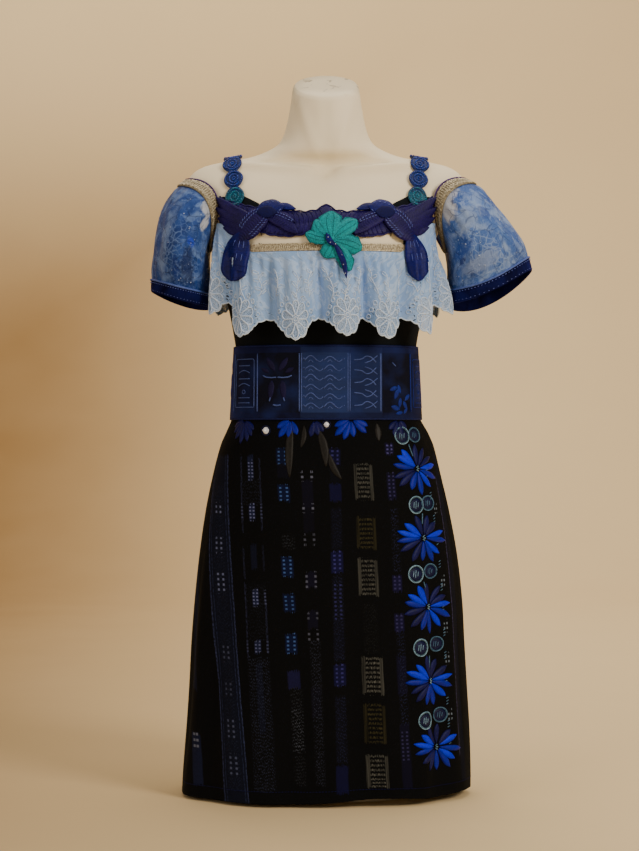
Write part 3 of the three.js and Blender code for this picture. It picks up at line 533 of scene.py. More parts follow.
class Ruler:
    """A cloth surface measured with a tape: s runs sideways from the middle angle, z is the height."""

    def __init__(self, surface, first, last, middle, lows):
        self.surface = surface
        self.angles = np.linspace(first, last, 400)
        self.heights = np.asarray(lows, float)
        self.runs = []
        for z in self.heights:
            run = run_of(surface(z, self.angles))
            self.runs.append(run - np.interp(middle, self.angles, run))
        runs = np.array(self.runs)
        across = np.arange(runs.min(), runs.max(), NET_STEP)
        up = np.arange(lows[0], lows[-1], NET_STEP)
        self.net = Net(lambda s, z: surface(z, self.angle(s, z)), across, up)

    def between(self, each, z):
        """The value at height z, from one value for each height that was measured."""
        place = np.interp(z, self.heights, np.arange(len(self.heights)))
        low = np.clip(np.floor(place).astype(int), 0, len(self.heights) - 2)
        a, b = (np.take_along_axis(each, row[..., None], -1)[..., 0] for row in (low, low + 1))
        return a + (b - a) * (place - low)

    def angle(self, s, z):
        s, z = np.broadcast_arrays(np.asarray(s, float), z)
        return self.between(np.stack([np.interp(s, run, self.angles) for run in self.runs], -1), z)

    def s_at(self, z, angle):
        """The tape's reading at an angle."""
        z, angle = np.broadcast_arrays(np.asarray(z, float), angle)
        return self.between(np.stack([np.interp(angle, self.angles, run) for run in self.runs], -1), z)

    def on(self, s, z, out=0.0):
        """Points on the cloth, and the direction square to it."""
        here, normal = self.net.read(s, z)
        return here + normal * np.asarray(out)[..., None], normal


# Materials

def colour(code):
    """A colour from its six hex digits, as the shader's linear values."""
    parts = [int(code[i:i + 2], 16) / 255 for i in (1, 3, 5)]
    return tuple(c / 12.92 if c <= 0.04045 else ((c + 0.055) / 1.055) ** 2.4 for c in parts) + (1.0,)


class Paint:
    """One material's nodes. Each maker gives back the socket that the next one takes."""

    def __init__(self, name, shader=()):
        self.material = bpy.data.materials.new(name)
        self.material.use_nodes = True
        self.tree = self.material.node_tree
        self.shader = self.tree.nodes["Principled BSDF"]
        for key, value in dict(shader).items():
            self.put(self.shader.inputs[key], value)

    def put(self, socket, value):
        if isinstance(value, bpy.types.NodeSocket):
            self.tree.links.new(value, socket)
        elif isinstance(value, str):
            socket.default_value = colour(value)
        else:
            socket.default_value = value

    def node(self, kind, inputs=(), **settings):
        node = self.tree.nodes.new("ShaderNode" + kind)
        for key, value in settings.items():
            setattr(node, key, value)
        for key, value in dict(inputs).items():
            self.put(node.inputs[key], value)
        return node

    def math(self, kind, a, b=0.0, clamp=False):
        node = self.node("Math", operation=kind, use_clamp=clamp)
        self.put(node.inputs[0], a)
        self.put(node.inputs[1], b)
        return node.outputs[0]

    def add(self, a, b):
        return self.math("ADD", a, b)

    def times(self, a, b):
        return self.math("MULTIPLY", a, b)

    def most(self, *values):
        total = values[0]
        for value in values[1:]:
            total = self.math("MAXIMUM", total, value)
        return total

    def mix(self, share, a, b, kind="MIX"):
        node = self.node("Mix", data_type="RGBA", blend_type=kind)
        self.put(node.inputs[0], share)
        self.put(node.inputs[6], a)
        self.put(node.inputs[7], b)
        return node.outputs[2]

    def uv(self, name="UVMap"):
        return self.node("UVMap", uv_map=name).outputs[0]

    def place(self):
        return self.node("TexCoord").outputs["Object"]

    def split(self, vector):
        return self.node("SeparateXYZ", {0: vector}).outputs

    def join(self, x, y, z=0.0):
        return self.node("CombineXYZ", {0: x, 1: y, 2: z}).outputs[0]

    def scaled(self, vector, by):
        return self.node("VectorMath", {0: vector, 1: by}, operation="MULTIPLY").outputs[0]

    def noise(self, at, scale, detail=2.0, distortion=0.0):
        return self.node("TexNoise", {"Vector": at, "Scale": scale, "Detail": detail,
                                      "Distortion": distortion}).outputs[0]

    def voronoi(self, at, scale, feature="DISTANCE_TO_EDGE", random=1.0):
        return self.node("TexVoronoi", {"Vector": at, "Scale": scale, "Randomness": random},
                         feature=feature).outputs[0]

    def range(self, value, low, high, start=0.0, end=1.0, soft=False):
        kind = "SMOOTHSTEP" if soft else "LINEAR"
        node = self.node("MapRange", interpolation_type=kind)
        names = ("Value", "From Min", "From Max", "To Min", "To Max")
        for key, item in zip(names, (value, low, high, start, end)):
            self.put(node.inputs[key], item)
        return node.outputs[0]

    def band(self, value, middle, half, soft):
        """1 within `half` of the middle, falling to 0 over `soft`."""
        away = self.math("ABSOLUTE", self.math("SUBTRACT", value, middle))
        return self.range(away, half - soft / 2, half + soft / 2, 1.0, 0.0)

    def wave(self, value, pitch, phase=0.0):
        """A smooth wave from 0 to 1, once a pitch."""
        turn = self.add(self.times(value, 2 * math.pi / pitch), phase)
        return self.range(self.math("SINE", turn), -1.0, 1.0)

    def steps(self, value, stops):
        """A colour or factor that jumps to a new value at each stop of the range 0 to 1."""
        node = self.node("ValToRGB", {0: value})
        ramp = node.color_ramp
        ramp.interpolation = "CONSTANT"
        for i, (place, level) in enumerate(stops):
            stop = ramp.elements[i] if i < 2 else ramp.elements.new(place)
            stop.position = place
            stop.color = colour(level) if isinstance(level, str) else (level, level, level, 1)
        return node.outputs[0]

    def bump(self, height, distance, strength=1.0, normal=None):
        node = self.node("Bump", {"Height": height, "Distance": distance, "Strength": strength})
        if normal is not None:
            self.put(node.inputs["Normal"], normal)
        return node.outputs[0]

    def done(self, **sockets):
        for key, value in sockets.items():
            self.put(self.shader.inputs[key.replace("_", " ")], value)
        return self.material


def weave(paint, at, pitch, depth, normal=None):
    """Crossing threads: their height, and a bump from it."""
    parts = paint.split(at)
    across = paint.wave(parts[0], pitch)
    along = paint.wave(parts[1], pitch, 1.3)
    height = paint.times(across, along)
    return height, paint.bump(height, depth, 0.6, normal)


# The dress form

FORM_TURNS = 120
COLLAR_BONE = 868  # height of the collar bones at the notch
NOTCH = (0, 864)


def form_relief(point):
    """The soft ridges of the collar bones, neck and shoulder blades; nothing where cloth lies."""
    x, y, z = point[..., 0], point[..., 1], point[..., 2]
    side = np.abs(x)
    is_front = smooth(-y, -5, 15)
    bone_z = COLLAR_BONE - 4 + 10 * (side / 120) ** 1.4
    bone = 5.6 * ridge(z - bone_z, 5.5) * between(side, 8, 26, 95, 150)
    crease = -4.0 * ridge(z - bone_z - 6.5, 2.6) * between(side, 4, 14, 85, 135)
    hollow = -1.6 * ridge(z - bone_z - 15, 9) * between(side, 22, 50, 80, 125)
    notch = -8.0 * np.exp(-((x / 9) ** 2) - ((z - NOTCH[1]) / 9) ** 2)
    line = -3.2 * ridge(x, 3.2) * between(z, 838, 850, 862, 872)
    cord_x = 9 + 0.32 * (z - 872)
    cord = 1.7 * ridge(side - cord_x, 8) * between(z, 872, 892, 950, 985)
    throat = -1.1 * ridge(x, 8) * between(z, 890, 905, 950, 980)
    front = (bone + crease + hollow + notch + line + cord + throat) * is_front
    blade = 2.2 * np.exp(-(((side - 62) / 26) ** 2) - ((z - 806) / 22) ** 2) * smooth(z, 780, 796)
    spine = -1.6 * ridge(x, 10) * between(z, 785, 812, 905, 930)
    back = (blade + spine) * (1 - is_front)
    return (front + back) * smooth(z, 782, 800)


def make_form(material):
    heights = np.concatenate([[0, 1, 2.5, 4], np.arange(20, 760, 20), np.arange(760, 984, 3),
                              [984, 986, 987.3, 988]])
    angles = np.linspace(0, 360, FORM_TURNS + 1)
    grid = form_point(heights[:, None], angles[None])
    grid += normals_of(grid) * form_relief(grid)[..., None]
    rows = len(heights)
    points = list(grid[:, :-1].reshape(-1, 3))
    count = FORM_TURNS
    faces = ring_faces(rows, count)
    for r, is_top in ((0, False), (rows - 1, True)):
        ring = np.array(points[r * count:(r + 1) * count])
        middle = ring.mean(0)
        before = r * count
        for share in (0.66, 0.33):
            start = len(points)
            points += list(middle + (ring - middle) * share)
            for i in range(count):
                j = (i + 1) % count
                face = (before + i, before + j, start + j, start + i)
                faces.append(face if is_top else face[::-1])
            before = start
        points.append(middle)
        for i in range(count):
            face = (before + i, before + (i + 1) % count, len(points) - 1)
            faces.append(face if is_top else face[::-1])
    thing = new_object("form_body", np.array(points), faces)
    finish_piece(thing, material)
    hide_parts("dress_form")


# The bodice

TAB_INNER = 91.2
OPENING_HALF = 105.5  # half of the neck opening below the feather band
BAND_EDGE = 779


def yoke_top(x, is_front):
    """How high the bodice reaches at a place seen from the front or back."""
    low = NECKLINE_FRONT if is_front else NECKLINE_BACK
    side = abs(x)
    if side <= NECKLINE_HALF - 2:
        return low
    if side <= NECKLINE_HALF:
        return low + side - NECKLINE_HALF + 2
    slant = low + 2 + (side - NECKLINE_HALF) * (821 - low) / 6
    return min(slant, TAB_TOP - 0.55 * max(0, 112 - side))


def bodice_point(z, angle, out):
    """Straight up above the neckline, so that the tabs keep their width."""
    z, angle = np.broadcast_arrays(np.asarray(z, float), np.asarray(angle, float))
    base = form_point(np.minimum(z, ARMHOLE_FLOOR), angle, out)
    half = FORM["half"](z) + out
    depth = np.where(angle > 180, FORM["front"](z), FORM["back"](z)) + out
    square = FORM["square"](z)
    across = np.minimum(np.abs(base[..., 0]) / half, 0.9999)
    y = depth * (1 - across ** square) ** (1 / square) * np.where(angle > 180, -1, 1)
    upper = np.stack([base[..., 0], y, z], -1)
    return np.where((z > ARMHOLE_FLOOR)[..., None], upper, base)


def make_bodice(name, first, last, material):
    is_front = first > 170
    seam = 0.12
    angles = np.linspace(first + seam, last - seam, 131)
    across = form_point(ARMHOLE_FLOOR, angles, BODICE_OUT)[:, 0]
    wanted = [-ARMHOLE_EDGE + 0.2, -TAB_INNER, -NECKLINE_HALF, -72, 72, NECKLINE_HALF, TAB_INNER,
              OPENING_HALF, ARMHOLE_EDGE - 0.2, -OPENING_HALF]
    for x in wanted:
        nearest = np.argmin(np.abs(across - x))
        order = np.argsort(across)
        angles[nearest] = np.interp(x, across[order], angles[order])
    across = form_point(ARMHOLE_FLOOR, angles, BODICE_OUT)[:, 0]
    lower = np.linspace(WAIST_SEAM + PIECE_GAP, ARMHOLE_FLOOR, 36)
    upper = np.linspace(0, 1, 21)[1:]
    tops = np.array([max(yoke_top(x, is_front), ARMHOLE_FLOOR + 0.5) for x in across])
    inside = np.abs(across) <= ARMHOLE_EDGE
    heights = [np.full(len(angles), z) for z in lower]
    heights += [ARMHOLE_FLOOR + (tops - ARMHOLE_FLOOR) * s for s in upper]
    heights = np.array(heights)
    turns = np.broadcast_to(angles, heights.shape)
    grid = bodice_point(heights, turns, BODICE_OUT)
    keep = np.ones((len(heights) - 1, len(angles) - 1), bool)
    both = inside[1:] & inside[:-1]
    keep[len(lower) - 1:, ~both] = False
    if is_front:
        middle_z = (heights[1:, 1:] + heights[:-1, :-1]) / 2
        middle_x = np.abs(across[1:] + across[:-1]) / 2
        open_part = (middle_z > NECKLINE_FRONT) & (middle_z < BAND_EDGE) & (middle_x < OPENING_HALF)[None]
        keep[open_part] = False
    run = arc_length(grid, len(angles) // 2)
    uv = np.stack([run, heights], -1) * MM
    thing = patch(name, grid, BODICE_WALL, uv, material, keep)
    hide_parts(name.replace("_cloth", ""))


# The skirt

# angle, heights it runs between, how far it reaches (in is minus), half width in degrees, lean per 100 mm
SKIRT_CREASES = (
    (194, 20, 430, -2.6, 5, 1), (207, 60, 470, 1.8, 5, -1), (216, 4, 330, -3.2, 4.5, 1.5),
    (231, 4, 250, 2.4, 6, 0.8), (238, 120, 480, -1.2, 3.5, -1.2), (250, 4, 300, 1.6, 5, 1),
    (257, 4, 190, -3.4, 4, 1.2), (271, 40, 420, 1.3, 5, 0.5), (279, 4, 380, -2.8, 4.5, 1.6),
    (291, 4, 240, 2.8, 4.5, 1), (296, 150, 490, -1.1, 4, -1), (309, 4, 280, 2.2, 5, 0.6),
    (316, 4, 440, -2.8, 4, 1.4), (331, 30, 360, 1.8, 4.5, 1), (338, 60, 300, -1.8, 3.5, 0.5),
    (8, 4, 380, -3.2, 4.5, -1), (20, 30, 460, 1.8, 5, 0.7), (34, 4, 300, -2.8, 5, -1.2),
    (47, 4, 420, 2.3, 6, 0.6), (62, 80, 480, -1.7, 4, 1.3), (72, 4, 260, 2.6, 5, -0.6),
    (86, 4, 410, -3.3, 5, 0.8), (97, 40, 340, 2, 5, 1), (112, 4, 450, -2, 4.5, -1.4),
    (124, 4, 290, 2.8, 5.5, 0.6), (141, 20, 400, -2.9, 5, 1), (152, 60, 470, 1.7, 5, -0.8),
    (168, 4, 330, -2.9, 4.5, 1.2),
)
# height, middle angle, half width in degrees, depth, half height: soft creases across the hips
HIP_CREASES = (
    (409, 268, 34, -1.3, 5), (400, 312, 22, 0.9, 6), (452, 300, 16, -0.7, 4), (416, 92, 30, -1.2, 5),
    (452, 62, 18, -0.7, 5), (390, 200, 14, -1, 6), (398, 345, 12, -1, 6), (86, 300, 26, -0.9, 7),
)


def skirt_cloth(z, angle):
    """How far the listed creases move the skirt out."""
    total = np.zeros(np.broadcast(z, angle).shape)
    for at, low, high, reach, spread, lean in SKIRT_CREASES:
        away = (angle - at - lean * (z - low) / 100 + 540) % 360 - 180
        length = high - low
        fade = smooth(z, low - 40, low + 0.2 * length) * (1 - smooth(z, high - 0.55 * length, high))
        total = total + reach * np.exp(-((away / spread) ** 2)) * fade
    for height, at, half, reach, tall in HIP_CREASES:
        away = (angle - at + 540) % 360 - 180
        bend = height + 5 * np.sin(np.radians(away * 4))
        total = total + reach * np.exp(-((away / half) ** 4) - ((z - bend) / tall) ** 2)
    room = 0.12 + 0.88 * (1 - smooth(z, 330, 470))
    return total * room * (1 - smooth(z, 480, 512))


def skirt_back_surface(z, angle):
    return skirt_point(z, angle, skirt_cloth(z, angle))


def skirt_front_surface(z, angle):
    z, angle = np.broadcast_arrays(np.asarray(z, float), np.asarray(angle, float))
    lap = (SKIRT_WALL + 4 * PIECE_GAP) * smooth(angle, 342, 354) * np.clip((BELT_BOTTOM - z) / 19, 0, 1)
    creases = skirt_cloth(z, angle) * (1 - 0.85 * smooth(angle, 338, 350))
    under = skirt_cloth(z, angle) * 0.85 * smooth(angle, 338, 350)
    point = skirt_point(z, angle, lap + creases + np.maximum(under, 0))
    corner = LAP_LIFT * smooth(angle, 357.3, 365) * np.clip(1 - (z - 4) / 36, 0, 1)
    point[..., 2] += corner
    return point


def skirt_heights():
    return np.concatenate([[4, 5.2], np.linspace(8, 485, 76), np.linspace(490, 585, 16)])


# How the warp leans: its place along the tape at half height, and how far it goes sideways as it rises
WARP_LEANS = (
    (-173, -0.105), (-134, -0.0995), (-113, -0.055), (-97, -0.058), (-50, -0.0534), (-18, -0.042),
    (15, -0.018), (58, -0.055), (97, -0.05), (143, -0.075),
)
WARP_LEVEL = 300


def ikat_uv(run, heights):
    """The cloth's own ruler, which follows the leaning warp."""
    places = np.linspace(-340, 340, 681)
    lean = np.interp(places, *np.array(WARP_LEANS).T)
    turned = [np.interp(row, places + lean * (z - WARP_LEVEL), places) for row, z in zip(run, heights)]
    return np.stack([np.array(turned), np.broadcast_to(heights[:, None], run.shape)], -1) * MM


def make_skirt(materials):
    heights = skirt_heights()
    end = 360 - SEAM_TURN + (LAP_TURN + SEAM_TURN) * np.clip((503 - heights) / 18, 0, 1)
    share = np.linspace(0, 1, 181)
    angles = 180 + SEAM_TURN + (end - 180 - SEAM_TURN)[:, None] * share[None]
    grid = skirt_front_surface(heights[:, None], angles)
    uv = ikat_uv(front_ruler.s_at(heights[:, None], angles), heights)
    front = patch("skirt_front_cloth", grid, SKIRT_WALL, uv, materials["ikat"])
    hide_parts("skirt_front")
    angles = np.linspace(SEAM_TURN, 180 - SEAM_TURN, 171)
    grid = skirt_back_surface(heights[:, None], angles[None])
    uv = ikat_uv(arc_length(grid, 85), heights)
    back = patch("skirt_back_cloth", grid, SKIRT_WALL, uv, materials["ikat_back"])
    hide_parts("skirt_back")


# The belt

BELT_LOW = (134.5, 98.5, 102.5)
BELT_HIGH = (129.3, 94.3, 90.3)


def belt_surface(z, angle, out=0.0):
    z, angle = np.broadcast_arrays(np.asarray(z, float), np.asarray(angle, float))
    share = (z - BELT_BOTTOM) / (BELT_TOP - BELT_BOTTOM)
    half, front, back = (low + (high - low) * share + out for low, high in zip(BELT_LOW, BELT_HIGH))
    x, y = oval(angle, half, half, front, back)
    return np.stack([x, y, z], -1)


def make_belt(material):
    heights = np.concatenate([[522, 523], np.linspace(526, 615, 24), [618, 619]])
    angles = np.linspace(0, 360, 241)
    grid = belt_surface(heights[:, None], angles[None])
    uv = cloth_uv(grid, 180, heights)
    thing = patch("belt_band", grid, BELT_WALL, uv, material)
    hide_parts("belt")


# Straps

STRAP_FRONT = (121, 818)
STRAP_CREST = 132
STRAP_BACK = (116, 806)
STRAP_LINKS = 7
STRAP_WIDE = 13
STRAP_NARROW = 5
SHOULDER_HUB = np.array([0, 6, 838.0])


def drop_to_form(start, direction):
    """Where the form's skin lies from a point outside it along a direction."""
    far = np.zeros(len(start))
    near = np.zeros(len(start))

    def is_inside(p):
        z = p[:, 2] - FORM["lean"](p[:, 2]) * p[:, 1]
        square = FORM["square"](z)
        depth = np.where(p[:, 1] > 0, FORM["back"](z), FORM["front"](z))
        return (np.abs(p[:, 0]) / FORM["half"](z)) ** square + (np.abs(p[:, 1]) / depth) ** square < 1

    found = np.zeros(len(start), bool)
    for _ in range(120):
        found |= is_inside(start + direction * far[:, None])
        if found.all():
            break
        near = np.where(found, near, far)
        far = np.where(found, far, far + 1)
    for _ in range(18):
        middle = (near + far) / 2
        inside = is_inside(start + direction * middle[:, None])
        far = np.where(inside, middle, far)
        near = np.where(inside, near, middle)
    return start + direction * far[:, None]


class Strap:
    """The line of a strap over the shoulder: t runs from its front end, 0, to its back end, 1."""

    def __init__(self, side):
        self.side = side
        turn = np.linspace(-62, 198, 161)
        t = (turn + 62) / 260
        x = np.where(t < 0.5, STRAP_FRONT[0] + (STRAP_CREST - STRAP_FRONT[0]) * t * 2,
                     STRAP_CREST + (STRAP_BACK[0] - STRAP_CREST) * (t * 2 - 1))
        out = np.stack([0 * turn, -np.cos(np.radians(turn)), np.sin(np.radians(turn))], -1)
        start = SHOULDER_HUB + out * 120
        start[:, 0] = side * x
        skin = drop_to_form(start, -out)
        kept = np.where(skin[:, 1] < 6, skin[:, 2] > STRAP_FRONT[1] - 10, skin[:, 2] > STRAP_BACK[1] - 10)
        self.line = skin[kept]
        self.run = run_of(self.line)
        self.length = self.run[-1]

    def middle(self, t):
        at = np.asarray(t) * self.length
        return np.stack([np.interp(at, self.run, self.line[:, i]) for i in range(3)], -1)

    def on(self, t, across, height):
        """A point `across` millimetres beside the line and `height` above the bodice."""
        t, across, height = np.broadcast_arrays(np.asarray(t, float), across, height)
        shape = t.shape
        t, across, height = t.ravel(), across.ravel(), height.ravel()
        middle = self.middle(t)
        along = self.middle(np.minimum(t + 0.02, 1)) - self.middle(np.maximum(t - 0.02, 0))
        along /= np.linalg.norm(along, axis=1, keepdims=True)
        aside = np.array([1, 0, 0]) - along * along[:, :1]
        aside /= np.linalg.norm(aside, axis=1, keepdims=True)
        out = np.cross(aside, along)
        hub = middle.copy()
        hub[:, 1:] = SHOULDER_HUB[1:]
        out *= np.sign((out * (middle - hub)).sum(1, keepdims=True))
        skin = drop_to_form(middle + aside * across[:, None] + out * 25, -out)
        lift = BODICE_OUT + PIECE_GAP + 0.5
        return (skin + out * (lift + height)[:, None]).reshape(*shape, 3)


def strap_width(t):
    return STRAP_NARROW + (STRAP_WIDE - STRAP_NARROW) * np.abs(np.sin(np.pi * STRAP_LINKS * t)) ** 0.7


def loft_rings(rings):
    """A closed body through rings of equal count."""
    rows, count = rings.shape[:2]
    return rings.reshape(-1, 3), ring_faces(rows, count) + end_faces(rows, count)


# Feathered appliques on the chest

BAND_ROWS = (
    (0, 774, 812), (12, 773, 803), (30, 770, 800), (52, 767, 804), (76, 770, 806), (98, 778, 808),
    (120, 786, 814), (138, 798, 819), (146, 814, 825),
)
BAND_THICK = 3
BAND_UNDER = BODICE_OUT + PIECE_GAP + 0.8


class RuffleDepth:
    """How far forward the ruffle lies at a place seen from the front."""

    def __init__(self, lace):
        self.x = np.arange(-170, 171, 1.0)
        self.z = np.arange(600, 830, 1.0)
        depth = np.zeros((len(self.z), len(self.x)))
        fine_u = np.linspace(*FRONT_WAVES, 1400)
        fine_v = np.linspace(0, 1, 300)
        dense, _ = lace.on(fine_u[None], fine_v[:, None])
        np.maximum.at(depth, self.cell(dense[..., 0], dense[..., 2]), -dense[..., 1])
        self.depth = depth

    def cell(self, x, z):
        """The row and column of the nearest millimetre."""
        xi = np.clip(np.round(np.asarray(x) - self.x[0]).astype(int), 0, len(self.x) - 1)
        zi = np.clip(np.round(np.asarray(z) - self.z[0]).astype(int), 0, len(self.z) - 1)
        return zi, xi

    def at(self, x, z):
        return self.depth[self.cell(x, z)]


def raised_depth(x, z, clear):
    """In front of both the feather band, by `clear`, and the ruffle."""
    chest = form_depth(x, z) + BAND_UNDER + BAND_THICK + PIECE_GAP + clear
    return np.maximum(chest, ruffle_depth.at(x, z) + PIECE_GAP + 1.1)


def bird_depth(x, z):
    return raised_depth(x, z, 0.6)


def flower_depth(x, z):
    return raised_depth(x, z, 0.5)


def stem_depth(x, z):
    return flower_depth(x, z) + 5


class Leaf:
    """A raised leaf of cloth seen from the front, with a ridge along it."""

    def __init__(self, depth_at, root, tip, width, thick, bend=0.0, widest=0.5, roundness=1.0):
        self.depth_at = depth_at
        self.root = np.array(root, float)
        self.along = np.array(tip, float) - self.root
        self.across = np.array([-self.along[1], self.along[0]]) / np.linalg.norm(self.along)
        self.width = width
        self.thick = thick
        self.bend = bend
        self.widest = widest
        self.roundness = roundness  # below 1 the ends are blunt

    def half(self, s):
        swell = np.where(s < self.widest, s / self.widest, (1 - s) / (1 - self.widest))
        swell = np.minimum(1, swell ** self.roundness * 1.25)
        return self.width / 2 * (0.16 + 0.84 * np.sin(np.pi / 2 * swell))

    def flat(self, s, reach):
        s, reach = np.broadcast_arrays(np.asarray(s, float), reach)
        sideways = self.bend * np.sin(np.pi * s)
        line = self.root + self.along * s[..., None] + self.across * sideways[..., None]
        return line + self.across * (reach * self.half(s))[..., None]

    def dome(self, reach):
        return self.thick * (0.45 + 0.55 * np.sqrt(np.maximum(0, 1 - np.abs(reach) ** 1.6)))

    def on(self, s, reach, height=0.0):
        place = self.flat(s, reach)
        depth = self.depth_at(place[..., 0], place[..., 1])
        return np.stack([place[..., 0], -depth - height, place[..., 1]], -1)

    def body(self, long=18, wide=9, ridges=0.0, pitch=2.4):
        """Rings round the leaf; the top has slanting ridges like satin stitch or feather barbs."""
        s = np.linspace(0, 1, long)[:, None]
        reach = np.linspace(-1, 1, wide)[None]
        length = np.linalg.norm(self.along)
        barb = np.cos(2 * np.pi * (s * length - 0.55 * self.width * np.abs(reach)) / pitch)
        top = self.dome(reach) + ridges * barb * (1 - np.abs(reach) ** 6)
        upper = self.on(s, reach, top)
        lower = self.on(s, np.array([[1.0, 0.33, -0.33, -1.0]]), 0.0)
        return np.concatenate([upper, lower], axis=1)


def make_leaves(name, leaves, material, slot, node, ridges=0.35, pitch=2.6):
    joined = Joined()
    for leaf in leaves:
        long = int(np.linalg.norm(leaf.along) / pitch * 4) + 6
        joined.add(*loft_rings(leaf.body(long, 9, ridges, pitch)))
    thing = joined.make(name, material, slot)
    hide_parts(node)


def make_wing_band(material):
    rows = np.array(BAND_ROWS, float)
    x = np.linspace(-146, 146, 260)
    side = np.abs(x)
    low = np.interp(side, rows[:, 0], rows[:, 1])
    high = np.interp(side, rows[:, 0], rows[:, 2])
    share = np.linspace(0, 1, 15)
    z = low[:, None] + (high - low)[:, None] * share[None]
    barb = 0.4 * np.cos(2 * np.pi * (side[:, None] + 14 * np.abs(share - 0.5)[None] * 2) / 4.2)
    dome = BAND_THICK * (0.55 + 0.45 * np.abs(np.sin(2 * np.pi * share)) ** 0.7)[None]
    top = np.clip(dome + barb * np.sin(np.pi * share)[None], 0.6, BAND_THICK + 0.3)
    wide = np.broadcast_to(x[:, None], z.shape)
    depth = form_depth(wide, z) + BAND_UNDER
    upper = np.stack([wide, -depth - top, z], -1)
    few = [14, 9, 5, 0]
    lower = np.stack([wide[:, few], -depth[:, few], z[:, few]], -1)
    joined = Joined()
    joined.add(*loft_rings(np.concatenate([upper, lower], axis=1)))
    thing = joined.make("feather_band", material, "purple_applique")
    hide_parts("wing_band")


# root, tip, width, thickness, bend and widest place of each leaf: beak, head, body and tail, then the wings
BIRD_LEAVES = (
    ((-66, 810), (-41, 805), 10, 3.2, 1.5, 0.3), ((-97, 800), (-57, 810), 24, 5, 2, 0.55),
    ((-78, 806), (-118, 762), 33, 5, -3, 0.5), ((-114, 776), (-127, 708), 37, 4.4, -2, 0.68),
    ((-96, 792), (-151, 825), 16, 4, 5, 0.5), ((-98, 786), (-152, 811), 15, 4, 5, 0.5),
    ((-100, 780), (-149, 797), 14, 3.6, 4, 0.5), ((-104, 775), (-141, 783), 12, 3.4, 3, 0.5),
    ((-84, 798), (-38, 770), 19, 3.6, 4, 0.5), ((-80, 802), (-42, 786), 12, 3.8, 2, 0.5),
)
TAIL_ROUNDNESS = {-1: 0.72, 1: 0.95}
TAIL_WIDTHS = {-1: 37, 1: 31}
EYE_RISE = 4.4  # the eye patch lies this far up the head
FLOWER_MIDDLE = (8, 763)
# direction, length, width and thickness
PETALS = (
    (170, 36, 17, 3.4), (250, 28, 22, 3.6), (-61, 50, 21, 4.2), (-19, 42, 24, 3.8), (132, 34, 22, 3.8),
    (37, 42, 23, 4.3), (92, 38, 31, 4.8),
)
STEM_LEAVES = (((0, 770), (12, 752), 8, 3, -2), ((8, 760), (27, 708), 8, 3, 4))
# which stem leaf, place along and across it, and radius of each bead
STEM_BEADS = (
    (1, 0.12, 0.35, 0.85), (1, 0.42, 0.35, 0.85), (1, 0.66, -0.25, 0.85), (1, 0.88, -0.25, 0.85),
    (0, 0.3, 0.1, 0.8), (0, 0.65, -0.2, 0.8),
)


def bird_leaves(side):
    leaves = [Leaf(bird_depth, (-side * root[0], root[1]), (-side * tip[0], tip[1]), width, thick,
                   -side * bend, widest)
              for root, tip, width, thick, bend, widest in BIRD_LEAVES]
    tail = leaves[3]
    tail.roundness = TAIL_ROUNDNESS[side]
    tail.width = TAIL_WIDTHS[side]
    return leaves


def petal_leaves():
    x, z = FLOWER_MIDDLE
    leaves = []
    for turn, long, width, thick in PETALS:
        a = math.radians(turn)
        leaves.append(Leaf(flower_depth, (x, z - 2), (x + long * math.cos(a), z + long * math.sin(a)),
                           width, thick, 2, 0.68))
    return leaves


# Raised detail

def on_surface(place, s, z, out):
    """Points `out` above a surface given by a function of s and z that returns points and normals."""
    points, normal = place(s, z)
    return points + normal * np.asarray(out)[..., None]


def stitched_leaf(joined, place, root, turn, long, width, thick, widest=0.6, bend=0.0, steps=9, wide=5):
    """A satin-stitched leaf or petal on a cloth surface, rounded on top."""
    a = math.radians(turn)
    along = np.array([math.cos(a), math.sin(a)])
    across = np.array([-along[1], along[0]])
    t = np.linspace(0, 1, steps)[:, None]
    reach = np.linspace(-1, 1, wide)[None]
    swell = np.where(t < widest, t / widest, (1 - t) / (1 - widest))
    half = width / 2 * (0.14 + 0.86 * np.sin(np.pi / 2 * np.minimum(1, swell * 1.15)))
    line = np.array(root) + along * (t * long)[..., None]
    line = line + across * (bend * np.sin(np.pi * t))[..., None]
    flat = line + across * (reach * half)[..., None]
    along_dome = 0.55 + 0.45 * np.sin(np.pi * np.clip(t * 0.9 + 0.08, 0, 1))
    dome = thick * np.sqrt(np.maximum(0.06, 1 - reach ** 2)) * along_dome
    top = on_surface(place, flat[..., 0], flat[..., 1], dome)
    ends = flat[:, [-1, 0]]
    low = on_surface(place, ends[..., 0], ends[..., 1], np.full(ends.shape[:2], -0.15))
    joined.add(*loft_rings(np.concatenate([top, low], axis=1)))


def stitched_line(joined, place, path, radius, height=0.0, sides=6):
    """A thread or cord laid along a path of s and z values on a surface."""
    path = np.asarray(path, float)
    points = on_surface(place, path[:, 0], path[:, 1], np.full(len(path), height))
    joined.add(*tube(points, radius, sides))


def along_path(points, step):
    """A path through points, divided evenly."""
    points = np.asarray(points, float)
    run = run_of(points)
    count = max(2, int(run[-1] / step) + 1)
    at = np.linspace(0, run[-1], count)
    return np.stack([np.interp(at, run, points[:, i]) for i in range(points.shape[1])], -1)


def circle_path(middle, radius, count, squash=1.0, start=0.0):
    turn = np.radians(start) + np.linspace(0, 2 * np.pi, count)
    return np.stack([middle[0] + radius * np.cos(turn), middle[1] + radius * squash * np.sin(turn)], -1)


